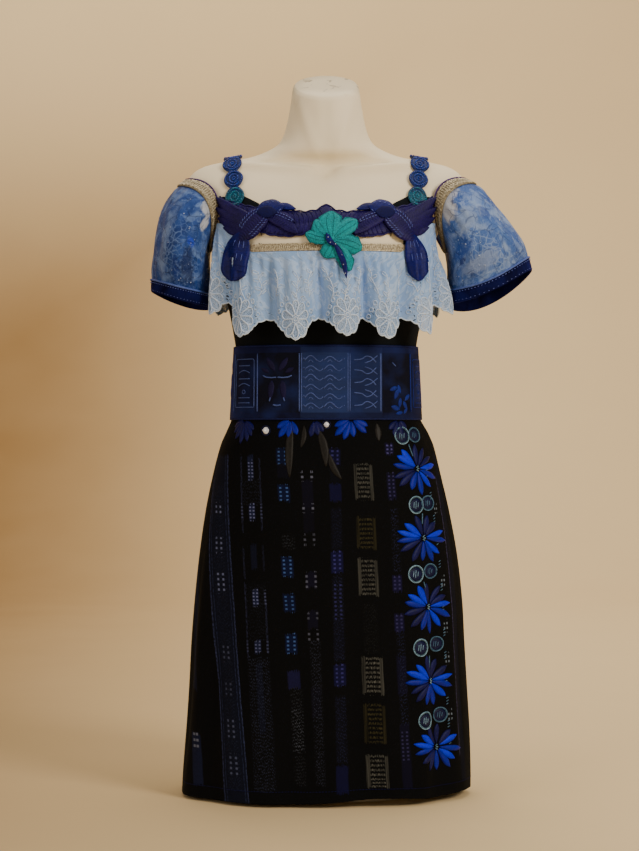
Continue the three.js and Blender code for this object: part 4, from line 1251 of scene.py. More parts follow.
# Embroidery of the skirt: each flower's place along the tape and height, and its first petal's direction
DAISIES = (((133, 453), 8), ((139.5, 359), 20), ((146, 266), 4), ((150.5, 166), 14), ((164, 76), 26))
DAISY_PETALS = (
    (0, 30, "royal"), (28, 27, "violet"), (58, 30, "violet"), (88, 33, "violet"), (114, 31, "royal"),
    (138, 31, "royal"), (163, 29, "blue"), (194, 30, "violet"), (222, 33, "violet"), (247, 31, "blue"),
    (272, 34, "blue"), (298, 30, "royal"), (328, 32, "blue"),
)
DAISY_STRETCH = 1.38  # a flower is wider along the tape than it is tall
RINGS_BRIGHT = ((108.9, 498), (128.3, 404), (125.2, 311), (132.2, 212), (139.7, 114))
RINGS_DIM = ((132.3, 499), (150, 406), (151, 314), (163, 215), (171, 119))
RING_RADIUS = 12  # along the tape
# flowers half hidden by the belt: place along the tape, petals' directions and lengths, and thread
BELT_DAISIES = (
    (-121, ((206, 24), (222, 28), (240, 32), (262, 35), (284, 32), (302, 27), (320, 22)), "violet"),
    (-48, ((212, 22), (236, 30), (262, 25), (292, 22)), "blue"),
    (-16, ((258, 24), (284, 22), (306, 20)), "violet"),
    (34, ((204, 24), (226, 32), (250, 30), (278, 24), (318, 28), (338, 24)), "blue"),
    (104, ((222, 20), (250, 24), (284, 22), (316, 18)), "violet"),
)
PEARLS = ((-83.9, 505, 4.8), (0.5, 513, 3.9))
RIBBONS = (
    ((-47, 516), 268, 74, 11, -2), ((-30, 512), 262, 30, 7, 2), ((-11, 508), 282, 52, 11, 3),
    ((4, 474), 296, 38, 9, -3), ((70, 515), 276, 24, 9, 1),
)
BACK_DAISIES = tuple(((-s, z), first + 40) for (s, z), first in DAISIES)
BACK_RINGS = tuple((-s, z) for s, z in RINGS_BRIGHT)
BACK_RINGS_DIM = tuple((-s, z) for s, z in RINGS_DIM)
TEAL_STEMS = (
    ((119, 486), (126, 470)), ((139, 392), (138, 378)), ((138, 300), (144, 284)), ((149, 200), (149, 184)),
)


def make_skirt_embroidery(ruler, suffix, flowers, rings, dim, materials):
    place = ruler.on
    threads = {name: Joined() for name in ("royal", "blue", "violet")}
    hearts = Joined()
    for (s, z), first in flowers:
        for i, (turn, long, thread) in enumerate(DAISY_PETALS):
            a = math.radians(first + turn + rng.uniform(-4, 4))
            ray = np.array([DAISY_STRETCH * math.cos(a), math.sin(a)])
            reach = (long - 4) * rng.uniform(0.92, 1.06)
            width = rng.uniform(6.2, 8.0) * (1 + (DAISY_STRETCH - 1) * abs(math.sin(a)))
            direction = math.degrees(math.atan2(ray[1], ray[0]))
            stitched_leaf(threads[thread], place, np.array([s, z]) + 4.5 * ray, direction,
                          reach * np.linalg.norm(ray), width, 1.8, 0.64, rng.uniform(-1, 1))
        for ring, count in ((0, 1), (1.7, 5)):
            for i in range(count):
                a = 2 * math.pi * i / count
                spot = on_surface(place, s + ring * math.cos(a), z + 1.9 * ring * math.sin(a), 1.5)
                hearts.beads([spot], 0.95)
    for thread, joined in threads.items():
        if suffix == "front":
            for s, petals, name in BELT_DAISIES:
                if name != thread:
                    continue
                for turn, long in petals:
                    a = math.radians(turn)
                    root = (s + 4 * math.cos(a), 521 + 4 * math.sin(a))
                    stitched_leaf(joined, place, root, turn, long * 0.86, 8.5, 1.6, 0.62)
        if joined.count:
            joined.make(f"daisy_petals_{thread}_{suffix}", materials[thread])
    if suffix == "front":
        pearls, pearl_rims = Joined(), Joined()
        for s, z, size in PEARLS:
            stitched_leaf(pearls, place, (s - size, z), 0, 2 * size, 2 * size, 3.4, 0.5, 0.0, 13, 9)
            stitched_line(pearl_rims, place, circle_path((s, z), size + 1.6, 25), 0.8, 0.4)
        pearls.make("pearls", materials["pearl"])
        pearl_rims.make("pearl_rims", materials["rim"])
    hearts.make(f"daisy_hearts_{suffix}", materials["ring"])
    for name, spots, squash in (("ring", rings, 0.96), ("ring_dim", dim, 0.82)):
        cords = Joined()
        for s, z in spots:
            stitched_line(cords, place, circle_path((s, z), RING_RADIUS, 41, squash), 0.75, 0.7)
            for k in range(30):
                a = 2 * math.pi * k / 30
                ends = np.array([0.82, 1.0]) * RING_RADIUS
                up = squash * ends * math.sin(a)
                points = on_surface(place, s + ends * math.cos(a), z + up, [0.5, 1.4])
                cords.add(*tube(points, 0.36, 4))
            for side, tall in ((-4.6, 4.0), (-1.2, 5.2), (2.6, 3.2)):
                inner = [(s + side, z - tall * squash), (s + side + 1.0, z + tall * squash)]
                stitched_line(cords, place, along_path(inner, 1.5), 0.5, 0.6)
        if spots:
            cords.make(f"stitched_{name}s_{suffix}", materials[name])
    disks = Joined()
    for s, z in list(rings) + list(dim):
        stitched_leaf(disks, place, (s - 0.9 * RING_RADIUS, z), 0, 1.8 * RING_RADIUS, 1.6 * RING_RADIUS,
                      0.5, 0.5)
    disks.make(f"ring_grounds_{suffix}", materials["rim"])


def make_ribbons(materials):
    place = front_ruler.on
    joined = Joined()
    for root, turn, long, width, bend in RIBBONS:
        stitched_leaf(joined, place, root, turn, long, width, 0.9, 0.5, bend, 14)
    joined.make("satin_ribbons", materials["grey"])
    stems = Joined()
    for path in TEAL_STEMS:
        stitched_line(stems, place, along_path(path, 2), 0.8, 0.4)
    for z in np.arange(70, 470, 31):
        s = np.interp(z, [76, 166, 266, 359, 453], [186, 179, 172, 163, 150])
        for k in range(3):
            low = z + 4 * k
            stitched_line(stems, place, along_path([(s, low), (s + 3.4, low + 1.6)], 1.2), 0.55, 0.4)
    stems.make("stem_stitches", materials["ring_dim"])


STITCH_ROW = 21.0  # height of the hem's stitches
STITCH_PITCH = 4.2


def make_hem_stitches(materials):
    """A row of machine stitches above each hem edge."""
    for suffix, ruler, low, high in (("front", front_ruler, -258, 262), ("back", back_ruler, -252, 252)):
        joined = Joined()
        for s in np.arange(low, high, STITCH_PITCH):
            ends = [(s + part * STITCH_PITCH / 3, STITCH_ROW) for part in range(3)]
            stitched_line(joined, ruler.on, ends, 0.32, 0.15, 5)
        joined.make(f"hem_stitches_{suffix}", materials["eye"])


# Brocade floats of the belt, in the tape's measure: s from the middle of the front and z
def arch(s, z, wide, tall, flip=1, count=11):
    t = np.linspace(0, 1, count)
    return np.stack([s + wide * t, z + flip * tall * np.sin(np.pi * t)], -1)


def float_waves(joined, place, start, end, rows=6):
    pitch = 76 / rows
    wide = (end - start - 12) / 2
    for row in range(rows):
        z = 537 + pitch * row
        for k in range(2):
            s = start + 6 + k * wide
            tall = 6.4 if (row + k) % 2 else 5.2
            stitched_line(joined, place, arch(s, z, wide * 0.62, tall), 0.85, 0.15)
            stitched_line(joined, place, arch(s + wide * 0.6, z + 1.5, wide * 0.36, 3.2, -1, 7), 0.6, 0.1)
            stitched_line(joined, place, arch(s + wide * 0.18, z - 2.6, wide * 0.26, 3.0, 1, 7), 0.5, 0.1)
        hook = [(start + 3, z + 1), (start + 4.8, z + 3.4), (start + 6.5, z + 1.2)]
        stitched_line(joined, place, hook, 0.6, 0.1)
        stitched_line(joined, place, [(end - 5.5, z + 1), (end - 3.6, z + 2.6)], 0.6, 0.1)


def float_border(joined, place, s, heavy=1.0):
    stitched_line(joined, place, along_path([(s, 531), (s, 610)], 6), 0.75 * heavy, 0.05)


def float_zigzag(joined, place, start, end):
    middle = (start + end) / 2
    for row in range(5):
        z = 540 + 15.5 * row
        swing = 5 if row % 2 else -5
        path = [(start + 3, z + swing * 0.2), (middle - 6, z), (middle, z - swing),
                (middle + 7, z - 0.6 * swing), (end - 6, z + swing * 0.8)]
        smooth_path = along_path(path, 2.2)
        smooth_path[1:-1] = (smooth_path[:-2] + smooth_path[1:-1] * 2 + smooth_path[2:]) / 4
        stitched_line(joined, place, smooth_path, 0.8, 0.12)
        cross = [(middle - 2, z + swing), (middle + 6, z + 0.5 * swing), (end - 4, z - swing)]
        stitched_line(joined, place, along_path(cross, 2.2), 0.7, 0.12)


def float_moth(pale, purple, place, middle):
    """A winged figure: a bar with turned-up ends, two tapering legs, wings above and a small foot bar."""
    for side in (-1, 1):
        bar = [(middle + side * out, z) for out, z in ((1, 577.5), (8, 577), (16, 577.6), (21, 580))]
        stitched_line(pale, place, along_path(bar, 2.0), 0.95, 0.2)
        stitched_leaf(purple, place, (middle + side * 7.5, 573), 270 + side * 6, 27, 9, 0.9, 0.35)
        foot = [(middle + side * 9.5, 550), (middle + side * 11, 545)]
        stitched_line(pale, place, along_path(foot, 1.4), 0.9, 0.5)
        stitched_leaf(purple, place, (middle + side * 3, 586), 90 - side * 34, 22, 8, 0.8, 0.5)
        stitched_leaf(purple, place, (middle + side * 12, 584), 90 - side * 62, 13, 6, 0.7, 0.5)
    foot_bar = [(middle - 5.5, 540), (middle, 539), (middle + 5.5, 540)]
    stitched_line(pale, place, along_path(foot_bar, 1.6), 1.2, 0.2)


def float_frame(joined, place, start, end):
    path = [(start, 537), (end, 537), (end, 603), (start, 603)]
    stitched_line(joined, place, along_path(path + path[:1], 4), 0.6, 0.08)
    middle = (start + end) / 2
    wide = (end - start) * 0.30
    for z, kind in ((594, 0), (585, 1), (576, 0), (567, 1), (558, 2), (550, 0), (543, 0)):
        if kind == 0:
            stitched_line(joined, place, along_path([(middle - wide, z), (middle + wide, z)], 4), 0.65, 0.1)
        elif kind == 1:
            stitched_line(joined, place, arch(middle - wide, z - 1, 2 * wide, 3.5), 0.65, 0.1)
        else:
            stitched_line(joined, place, circle_path((middle, z), 3.2, 13, 0.8), 0.65, 0.1)


def float_flower(joined, place, middle, height, size=1.0):
    for turn in range(0, 360, 45):
        a = math.radians(turn + 12)
        root = (middle + 3 * math.cos(a), height + 3 * math.sin(a))
        stitched_leaf(joined, place, root, turn + 12, 12 * size, 6.5 * size, 0.8, 0.6)
    for s, z, turn in ((-13, 20, 60), (10, 24, 110), (14, -22, 300), (-12, -23, 240)):
        root = (middle + s * size, height + z * size * 0.8)
        stitched_leaf(joined, place, root, turn, 10 * size, 5, 0.7, 0.5)


# root, direction, length and width of the loose leaves woven in the dark panel
LOOSE_LEAVES = (
    (90, 560, 20, 13, 6), (98, 548, 65, 16, 7), (108, 556, 110, 12, 6), (116, 546, 40, 13, 6),
    (92, 538, -15, 15, 7), (106, 536, 80, 14, 6), (120, 534, 120, 13, 6), (100, 528, 10, 12, 5),
    (114, 528, 50, 11, 5),
)


def make_belt_floats(ruler, materials):
    place = ruler.on
    pale, purple, royal = Joined(), Joined(), Joined()
    for start, end in ((-35, 29), (184, 244), (-328, -264)):
        float_waves(pale, place, start, end)
    for s in (-330, -262, -205, -150, -98.5, -36.5, -33.5, 29.5, 32.5, 246, 300):
        float_border(pale, place, s)
    float_border(pale, place, 76, 1.5)
    float_border(royal, place, 129, 1.3)
    for middle in (-68, 273, -234):
        float_moth(pale, purple, place, middle)
    float_zigzag(pale, place, 35, 75)
    float_zigzag(royal, place, 303, 343)
    float_frame(pale, place, -144, -104)
    float_frame(royal, place, 136, 172)
    float_frame(royal, place, -366, -336)
    float_flower(royal, place, -178, 568, 1.1)
    for s, z, turn, long, width in LOOSE_LEAVES:
        stitched_leaf(royal, place, (s, z), turn, long, width, 0.8, 0.55)
    stitched_line(pale, place, along_path([(94, 598), (100, 593)], 1.5), 0.8, 0.2)
    pale.make("belt_floats_pale", materials["wave"])
    purple.make("belt_floats_purple", materials["float_purple"])
    royal.make("belt_floats_royal", materials["float_royal"])
    edges = Joined()
    for level, z in ((BELT_TOP, 620.2), (BELT_BOTTOM, 520.9)):
        ring = belt_surface(level, np.linspace(0, 360, 181)[:-1], -BELT_WALL / 2)
        ring[:, 2] = z
        edges.add(*tube(ring, 1.5, 8, closed=True))
    edges.make("belt_edge_cords", materials["belt_edge"], "woven_belt")


# middle and radius of the ringed holes above each flower of the lace
LACE_EYELETS = (
    (-25, 20, 3.2), (25, 20, 3.2), (-30.5, 11, 2.8), (30.5, 11, 2.8), (-15.5, 28, 3.0), (15.5, 28, 3.0),
    (0, 32, 3.2), (-34, 2, 2.6), (34, 2, 2.6),
)
# Lace: corded flowers at the hem's lobes, a corded edge and stitched leaves above
LACE_UP = 25.5  # how far a flower's middle lies above the plain hem at its lobe
LACE_TIP = 27.5  # radius of a flower at the tips of its petals


class Lace:
    """One half of the ruffle, with its flowers' places and the shape of its edge."""

    def __init__(self, span):
        self.span = span
        self.columns = np.linspace(*span, 1401)
        top = ruffle_point(self.columns, np.zeros_like(self.columns))
        hem = ruffle_point(self.columns, np.ones_like(self.columns))
        self.high = top[:, 2]
        self.low = hem[:, 2]
        self.run = run_of(ruffle_point(self.columns, np.full_like(self.columns, 0.85)))
        self.flowers = []
        for u in range(math.ceil(span[0]), math.floor(span[1]) + 1):
            self.flowers.append((self.run_at(u), float(np.interp(u, self.columns, self.low)) + LACE_UP))
        self.net = Net(self.surface, np.linspace(*span, 1001), np.linspace(0, 1.1, 111))

    def run_at(self, u):
        """How far along the lace a column lies, in millimetres."""
        return np.interp(u, self.columns, self.run)

    def level(self, u, z):
        """The v at which the plain ruffle reaches a height."""
        high = np.interp(u, self.columns, self.high)
        return (high - z) / (high - np.interp(u, self.columns, self.low))

    def height(self, u, v):
        high = np.interp(u, self.columns, self.high)
        return high + (np.interp(u, self.columns, self.low) - high) * v

    def hem(self, u):
        """Where the edge lies at u: round each flower's petals, and small arcs between."""
        u = np.asarray(u, float)
        run = self.run_at(u)
        edge = 1 - 0.028 + 0.02 * np.abs(np.sin(np.pi * run / 9))
        for middle, z in self.flowers:
            x = run - middle
            turn = np.arctan2(-np.sqrt(np.maximum(0, LACE_TIP ** 2 - x * x)), x)
            r = LACE_TIP - 3 + 3 * np.abs(np.sin(LACE_PETALS / 2 * turn)) ** 0.7
            drop = np.sqrt(np.maximum(0, r * r - x * x))
            edge = np.where(np.abs(x) < r, np.maximum(edge, self.level(u, z - drop)), edge)
        return edge

    def crinkle(self, u, v):
        """Small gathers near the top, soft waves below and a deep fold between the lobes."""
        pleats = 2.0 * np.sin(2 * np.pi * u * 4.3 + 1.2 * np.sin(u * 5)) * (1 - smooth(v, 0.25, 0.8))
        waves = 1.2 * np.sin(2 * np.pi * u * 1.5 + 2.2 * np.sin(2.1 * u) + 1.1) * smooth(v, 0.2, 0.7)
        away = np.abs(u - np.floor(u) - 0.5)
        fold = -4.6 * ridge(away, 0.085) + 3.4 * ridge(away - 0.21, 0.065)
        return (pleats + waves) * smooth(v, 0.03, 0.15) + fold * smooth(v, 0.12, 0.4)

    def surface(self, u, v):
        """v is 1 on the plain hem and may run a little past it."""
        u, v = np.broadcast_arrays(np.asarray(u, float), v)
        inner = ruffle_point(u, np.minimum(v, 1))
        inner[..., 2] = self.height(u, v)
        away = inner * [1, 1, 0]
        away /= np.linalg.norm(away, axis=-1, keepdims=True)
        return inner + away * self.crinkle(u, v)[..., None]

    def on(self, u, v):
        return self.net.read(u, v)

    def near(self, flower, x, y):
        """Points by millimetres beside and above a flower's middle."""
        u = np.interp(flower[0] + np.asarray(x), self.run, self.columns)
        return self.on(u, self.level(u, flower[1] + np.asarray(y)))


def make_lace(name, lace, material):
    columns = np.linspace(*lace.span, 361)
    rows = np.linspace(1, 0, 61)
    v = rows[:, None] * lace.hem(columns)[None]
    u = np.broadcast_to(columns[None], v.shape)
    grid, normals = lace.on(u, v)
    run = arc_length(grid, 180)
    uv = np.stack([run, v * 124], -1) * MM
    thing = patch(name, grid, FINE_WALL, uv, material, normals=normals)
    mesh = thing.data
    places = np.empty(len(mesh.vertices) * 3)
    mesh.vertices.foreach_get("co", places)
    size = len(places) // 6
    vertex_u = np.tile(u.ravel(), 2)
    vertex_v = np.tile(v.ravel(), 2)
    assert len(vertex_u) == 2 * size
    loops = np.empty(len(mesh.loops), int)
    mesh.loops.foreach_get("vertex_index", loops)
    totals = np.empty(len(mesh.polygons), int)
    mesh.polygons.foreach_get("loop_total", totals)
    starts = np.concatenate([[0], np.cumsum(totals)[:-1]])
    vertex_run = lace.run_at(vertex_u)
    middle = np.repeat(np.add.reduceat(vertex_run[loops], starts) / totals, totals)
    flowers = np.array(lace.flowers)
    chosen = flowers[np.argmin(np.abs(middle[:, None] - flowers[None, :, 0]), axis=1)]
    local = np.stack([vertex_run[loops] - chosen[:, 0],
                      lace.height(vertex_u, vertex_v)[loops] - chosen[:, 1]], -1) * MM
    layer = mesh.uv_layers.new(name="motif")
    layer.data.foreach_set("uv", local.ravel())
    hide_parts(name.replace("_lace", ""))
    return thing


def make_lace_cords(suffix, lace, material):
    """White corded outlines: every petal, the heart, the edge, and rows of leaves with veins above."""
    cords = Joined()

    def cord(points, normal, radius, closed=False, sides=5):
        cords.add(*tube(points + normal * 0.35, radius, sides, closed))

    for flower in lace.flowers:
        for k in range(LACE_PETALS):
            a = 2 * math.pi * (k + 0.5) / LACE_PETALS
            turn = turns_round(18)
            r = 15.6 + 10.2 * np.cos(turn)
            swell = 7.3 * (0.72 + 0.28 * np.cos(turn)) * np.sin(turn)
            x = r * math.cos(a) - swell * math.sin(a)
            y = r * math.sin(a) + swell * math.cos(a)
            points, normal = lace.near(flower, x, y)
            cord(points, normal, 0.7, True)
        turn = turns_round(14)
        points, normal = lace.near(flower, 4.4 * np.cos(turn), 3.0 * np.sin(turn))
        cord(points, normal, 0.8, True)
        for x, y, r in LACE_EYELETS:
            turn = turns_round(10)
            points, normal = lace.near(flower, x + r * np.cos(turn), y + r * np.sin(turn))
            cord(points, normal, 0.6, True, 4)
    u = np.linspace(*lace.span, 1100)
    points, normal = lace.on(u, lace.hem(u))
    cords.add(*tube(points - normal * 0.4, 1.05, 6))
    for branch in np.arange(lace.span[0] + 0.16, lace.span[1] - 0.1, 0.335):
        lean = 0.09 * math.sin(branch * 7.3)
        v = np.linspace(0.28, 0.62, 16)
        line = branch + lean * (v - 0.28) / 0.34 + 0.035 * np.sin(v * 14 + branch * 5)
        points, normal = lace.on(line, v)
        cord(points, normal, 0.6, sides=4)
        for k, at in enumerate(np.linspace(0.3, 0.6, 6)):
            side = 1 if k % 2 else -1
            base = np.interp(at, v, line)
            turn = turns_round(8)
            du = side * (0.045 + 0.04 * np.cos(turn)) + 0.008 * np.sin(turn)
            dv = -0.03 - 0.028 * np.cos(turn) + 0.016 * np.sin(turn) * side
            points, normal = lace.on(base + du, at + dv)
            cord(points, normal, 0.5, True, 4)
    cords.make(f"lace_cords_{suffix}", material, "lace")


# Sleeves in full: gathers, folds, sequins, piping and cord

def sleeve_relief(v, turn, seed):
    """Gathers below the trim and above the cuff, with a few broad folds between."""
    top = 0.9 * np.sin(np.radians(turn) * 23 + seed + 1.3 * np.sin(np.radians(turn) * 3))
    low = 1.1 * np.sin(np.radians(turn) * 19 + 2 * seed + 1.1 * np.sin(np.radians(turn) * 2))
    top = top * smooth(v, 0.66, 0.9) * (1 - smooth(v, 1.2, 2.4))
    low = low * smooth(v, 3.2, 4.5) * (1 - smooth(v, 4.8, 5.0))
    # turn, row, depth, half width in degrees and lean of each fold
    folds = (
        (30, 2.2, -2.4, 9, 16), (62, 3.0, 2.2, 11, -14), (84, 2.0, -2.2, 8, 20), (118, 3.4, 1.5, 9, 8),
        (318, 2.8, -2.4, 9, -16), (292, 2.2, 2.0, 10, 12), (264, 3.2, -2.2, 9, 10), (340, 3.6, 1.8, 8, 6),
        (8, 3.4, -1.8, 7, 10), (240, 2.4, -1.4, 9, -6),
    )
    broad = 0
    for at, middle, depth, spread, lean in folds:
        away = (turn - at - lean * (v - middle) + 540 + seed * 4) % 360 - 180
        broad = broad + depth * ridge(away, spread) * ridge(v - middle, 1.5)
    broad = broad * smooth(v, 0.7, 1.4) * (1 - smooth(v, 4.5, 4.95))
    outer = 1 - 0.85 * np.exp(-(((turn - 180) / 55) ** 2))
    return (top + low + broad) * outer


FRONT_TURN = 45  # the column of a sleeve's grid that faces the front


class Sleeve:
    def __init__(self, side, table):
        self.side = side
        self.table = table
        self.seed = 0.0 if side == "left" else 1.7
        self.turns = np.linspace(0, 360, 181)
        self.rows = np.concatenate([np.linspace(0, 0.62, 8), np.linspace(0.7, CUFF_ROW, 66)])
        plain = sleeve_point(table, self.rows[:, None], self.turns[None])
        self.normals = normals_of(plain)
        relief = sleeve_relief(self.rows[:, None], self.turns[None], self.seed)
        self.grid = plain + self.normals * relief[..., None]

    def ring(self, v, out):
        turns = np.linspace(0, 360, 241)
        grid = sleeve_point(self.table, np.array([v - 0.02, v, v + 0.02])[:, None], turns[None])
        return grid[1, :-1] + normals_of(grid)[1, :-1] * out

    def make(self, materials):
        side = self.side
        drop = run_of(self.grid[:, FRONT_TURN])
        uv = cloth_uv(self.grid, FRONT_TURN, drop)
        cloth = patch("sleeve_cloth_" + side, self.grid, FINE_WALL, uv, materials["sleeve_" + side])
        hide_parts("sleeve_" + side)
        sequins = Joined()
        shape = bead_shape(3, 7)
        for _ in range(70):
            r = rng.integers(14, len(self.rows) - 4)
            i = rng.integers(0, 180)
            middle = self.grid[r, i]
            normal = self.normals[r, i]
            aside = np.cross(normal, [0.2, 0.3, 0.9])
            aside /= np.linalg.norm(aside)
            other = np.cross(normal, aside)
            frame_of = np.stack([aside, other, normal])
            size = rng.uniform(0.7, 1.2)
            points = (shape[0] * [size, size, 0.35]) @ frame_of + middle + normal * 0.35
            sequins.add(points, shape[1])
        sequins.make("sequins_" + side, materials["sequin"])
        rows = np.linspace(CUFF_ROW + (PIECE_GAP + 0.05) / CUFF_DROP, 6, 12)
        plain = sleeve_point(self.table, rows[:, None], self.turns[None])
        normals = normals_of(plain)
        share = (rows - rows[0]) / (rows[-1] - rows[0])
        swell = 0.8 + 0.9 * np.sin(np.pi * share) ** 0.8
        grid = plain + normals * swell[:, None, None]
        uv = cloth_uv(grid, FRONT_TURN, share * CUFF_DROP)
        cuff = patch("cuff_velvet_" + side, grid, CUFF_WALL, uv, materials["velvet"],
                     normals=normals)
        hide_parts("cuff_" + side)
        piping = Joined()
        piping.add(*tube(self.ring(5.02, 1.7), 1.5, 8, closed=True))
        piping.make("cuff_piping_" + side, materials["piping"])
        stitches = Joined()
        line = self.ring(5.22, 2.3)
        for i in range(0, 240, 3):
            stitches.add(*tube(line[[i, (i + 1) % 240]], 0.5, 5))
        edge = self.ring(5.86, 1.6)
        for i in range(0, 240, 4):
            stitches.add(*tube(edge[[i, (i + 1) % 240]], 0.35, 4))
        stitches.make("cuff_stitches_" + side, materials["dash"])
        return cloth, cuff

    def make_trim(self, materials):
        side = self.side
        rows = np.linspace(0, TRIM_DEPTH, 7)
        plain = sleeve_point(self.table, rows[:, None], self.turns[None])
        normals = normals_of(plain)
        grid = plain + normals * (2 * PIECE_GAP + TRIM_WALL - 0.3)
        uv = cloth_uv(grid, FRONT_TURN, rows * 20)
        trim = patch("sleeve_braid_" + side, grid, TRIM_WALL - 0.3, uv, materials["gold_dark"],
                     normals=normals)
        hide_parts("sleeve_trim_" + side)
        loops = Joined()
        turns = np.linspace(0, 360, 721)[:-1]
        for phase, middle, reach in ((0, 0.3, 0.23), (math.pi, 0.3, 0.23), (0, 0.13, 0.08), (0, 0.5, 0.07)):
            v = middle + reach * np.sin(np.radians(turns) * 45 + phase)
            base = sleeve_point(self.table, v, turns)
            normal = base - sleeve_point(self.table, np.full_like(v, 0.3), turns).mean(0)
            around = sleeve_point(self.table, v, turns + 0.5) - sleeve_point(self.table, v, turns - 0.5)
            above = sleeve_point(self.table, np.maximum(v - 0.02, 0), turns)
            square = np.cross(around, sleeve_point(self.table, v + 0.02, turns) - above)
            square /= np.linalg.norm(square, axis=1, keepdims=True)
            square *= np.sign((square * normal).sum(1, keepdims=True))
            loops.add(*tube(base + square * (2 * PIECE_GAP + TRIM_WALL + 0.25), 0.55, 4, closed=True))
        loops.make("sleeve_braid_loops_" + side, materials["gold"], "gold_trim")
        cord = Joined()
        cord.add(*tube(self.ring(0.02, 1.6) + self.edge_shift(), 1.35, 8, closed=True))
        cord.make("sleeve_edge_cord_" + side, materials["plum"], "gold_trim")
        return trim

    def edge_shift(self):
        """Up off the first row, away from the cuff."""
        turns = np.linspace(0, 360, 241)[:-1]
        lower = sleeve_point(self.table, np.full(240, 0.1), turns)
        step = sleeve_point(self.table, np.zeros(240), turns) - lower
        return step / np.linalg.norm(step, axis=1, keepdims=True) * 0.9


def make_neck_braid(suffix, height, first, last, materials):
    inner = BODICE_OUT + PIECE_GAP
    angles = np.linspace(first, last, 241)
    reach = OPENING_HALF + 3 if suffix == "front" else NECKLINE_HALF + 8
    angles = angles[np.abs(form_point(height, angles, inner)[:, 0]) < reach]
    heights = np.linspace(height - TRIM_HEIGHT, height, 6)
    grid = form_point(heights[:, None], angles[None], inner + FINE_WALL)
    uv = cloth_uv(grid, len(angles) // 2, heights)
    thing = patch("neck_braid_" + suffix, grid, FINE_WALL, uv, materials["gold_dark"])
    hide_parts("neck_trim_" + suffix)
    fine = np.linspace(angles[0], angles[-1], 460)
    loops = Joined()
    side = np.arange(len(fine))
    for phase, middle, reach in ((0, -5, 3.7), (math.pi, -5, 3.7), (0, -8.6, 1.0), (0, -1.4, 1.0)):
        z = height + middle + reach * np.sin(side * 2 * math.pi / 10.76 + phase)
        loops.add(*tube(form_point(z, fine, inner + 1.15), 0.5, 4))
    for z in (height - 9.6, height - 0.5):
        loops.add(*tube(form_point(z, fine, inner + 1.0), 0.8, 5))
    loops.make("neck_braid_loops_" + suffix, materials["gold"], "gold_trim")
    return thing


def make_strap(name, side, node, materials):
    """Oval links of cord with rows of small beads round and inside them."""
    strap = Strap(side)
    t = np.linspace(0, 1, STRAP_LINKS * 14 + 1)[:, None]
    profile = np.array([(-1, 0.2), (1, 0.2), (1.04, 1.2), (0.86, 2.6), (0.55, 2.0), (0, 1.7), (-0.55, 2.0),
                        (-0.86, 2.6), (-1.04, 1.2)])
    rings = strap.on(t, strap_width(t) * profile[None, :, 0], profile[None, :, 1])
    base = Joined()
    base.add(*loft_rings(rings))
    thing = base.make(name, materials["strap"], "beads")
    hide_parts(node)
    blue, teal = Joined(), Joined()
    long = strap.length / STRAP_LINKS
    for link in range(STRAP_LINKS):
        middle = (link + 0.5) / STRAP_LINKS
        beads = teal if link == 0 else blue
        for share, count, lift in ((0.86, 26, 2.9), (0.52, 16, 2.5), (0.18, 5, 2.6)):
            turn = turns_round(count)
            along = middle + share * 0.49 * np.cos(turn) / STRAP_LINKS
            wide = strap_width(along) * 0.98 if share > 0.8 else 13 * share * np.ones(count)
            across = wide * share ** 0.2 * np.sin(turn)
            across = np.clip(across, -0.9 * strap_width(along), 0.9 * strap_width(along))
            places = strap.on(along, across, np.full(count, lift))
            beads.beads(places, np.where(np.arange(count) % 2, 1.25, 1.05) * (1.0 if long > 14 else 0.9))
    blue.make(name + "_beads", materials["strap_bead"], "beads")
    teal.make(name + "_beads_teal", materials["strap_teal"], "beads")


def scatter_dashes(joined, leaf, s_values, reach_values, long=2.6, radius=0.42):
    """Short metallic stitches lying across a feather."""
    for s in s_values:
        for reach in reach_values:
            places = np.array([s, s + long / np.linalg.norm(leaf.along)])
            reaches = np.array([reach, reach * 0.86])
            joined.add(*tube(leaf.on(places, reaches, leaf.dome(reaches) + 0.42), radius, 4))


def make_bird(side, name, materials):
    leaves = bird_leaves(side)
    beak, head, body, tail = leaves[:4]
    wings = leaves[4:]
    slot, node = "indigo_applique", "bird_" + name
    make_leaves("bird_wings_" + name, wings + [body], materials["purple"], slot, node, 0.85, 3.6)
    make_leaves("bird_body_" + name, [tail, head, beak], materials["indigo"], slot, node, 0.3, 1.9)
    dashes = Joined()
    scatter_dashes(dashes, body, np.linspace(0.16, 0.7, 9), (-0.84, -0.55, 0.5, 0.8))
    scatter_dashes(dashes, head, np.linspace(0.3, 0.8, 4), (-0.7, 0.75))
    scatter_dashes(dashes, wings[-1], np.linspace(0.2, 0.85, 7), (-0.3, 0.4))
    for reach in (-0.4, 0.05, 0.45):
        for start in (0.2, 0.46):
            s = np.linspace(start, start + 0.13, 4)
            line = tail.on(s, np.full(4, reach), tail.dome(np.full(4, reach)) + 0.35)
            dashes.add(*tube(line, 0.4, 4))
    dashes.make("bird_stitches_" + name, materials["dash"], slot)
    patch_leaf = Leaf(lambda x, z: bird_depth(x, z) + EYE_RISE, (94 * side, 801), (67 * side, 801), 17, 2.0)
    eye = Joined()
    eye.add(*loft_rings(patch_leaf.body(12, 9, 0.0, 2.0)))
    eye.make("bird_eye_" + name, materials["eye"], slot)


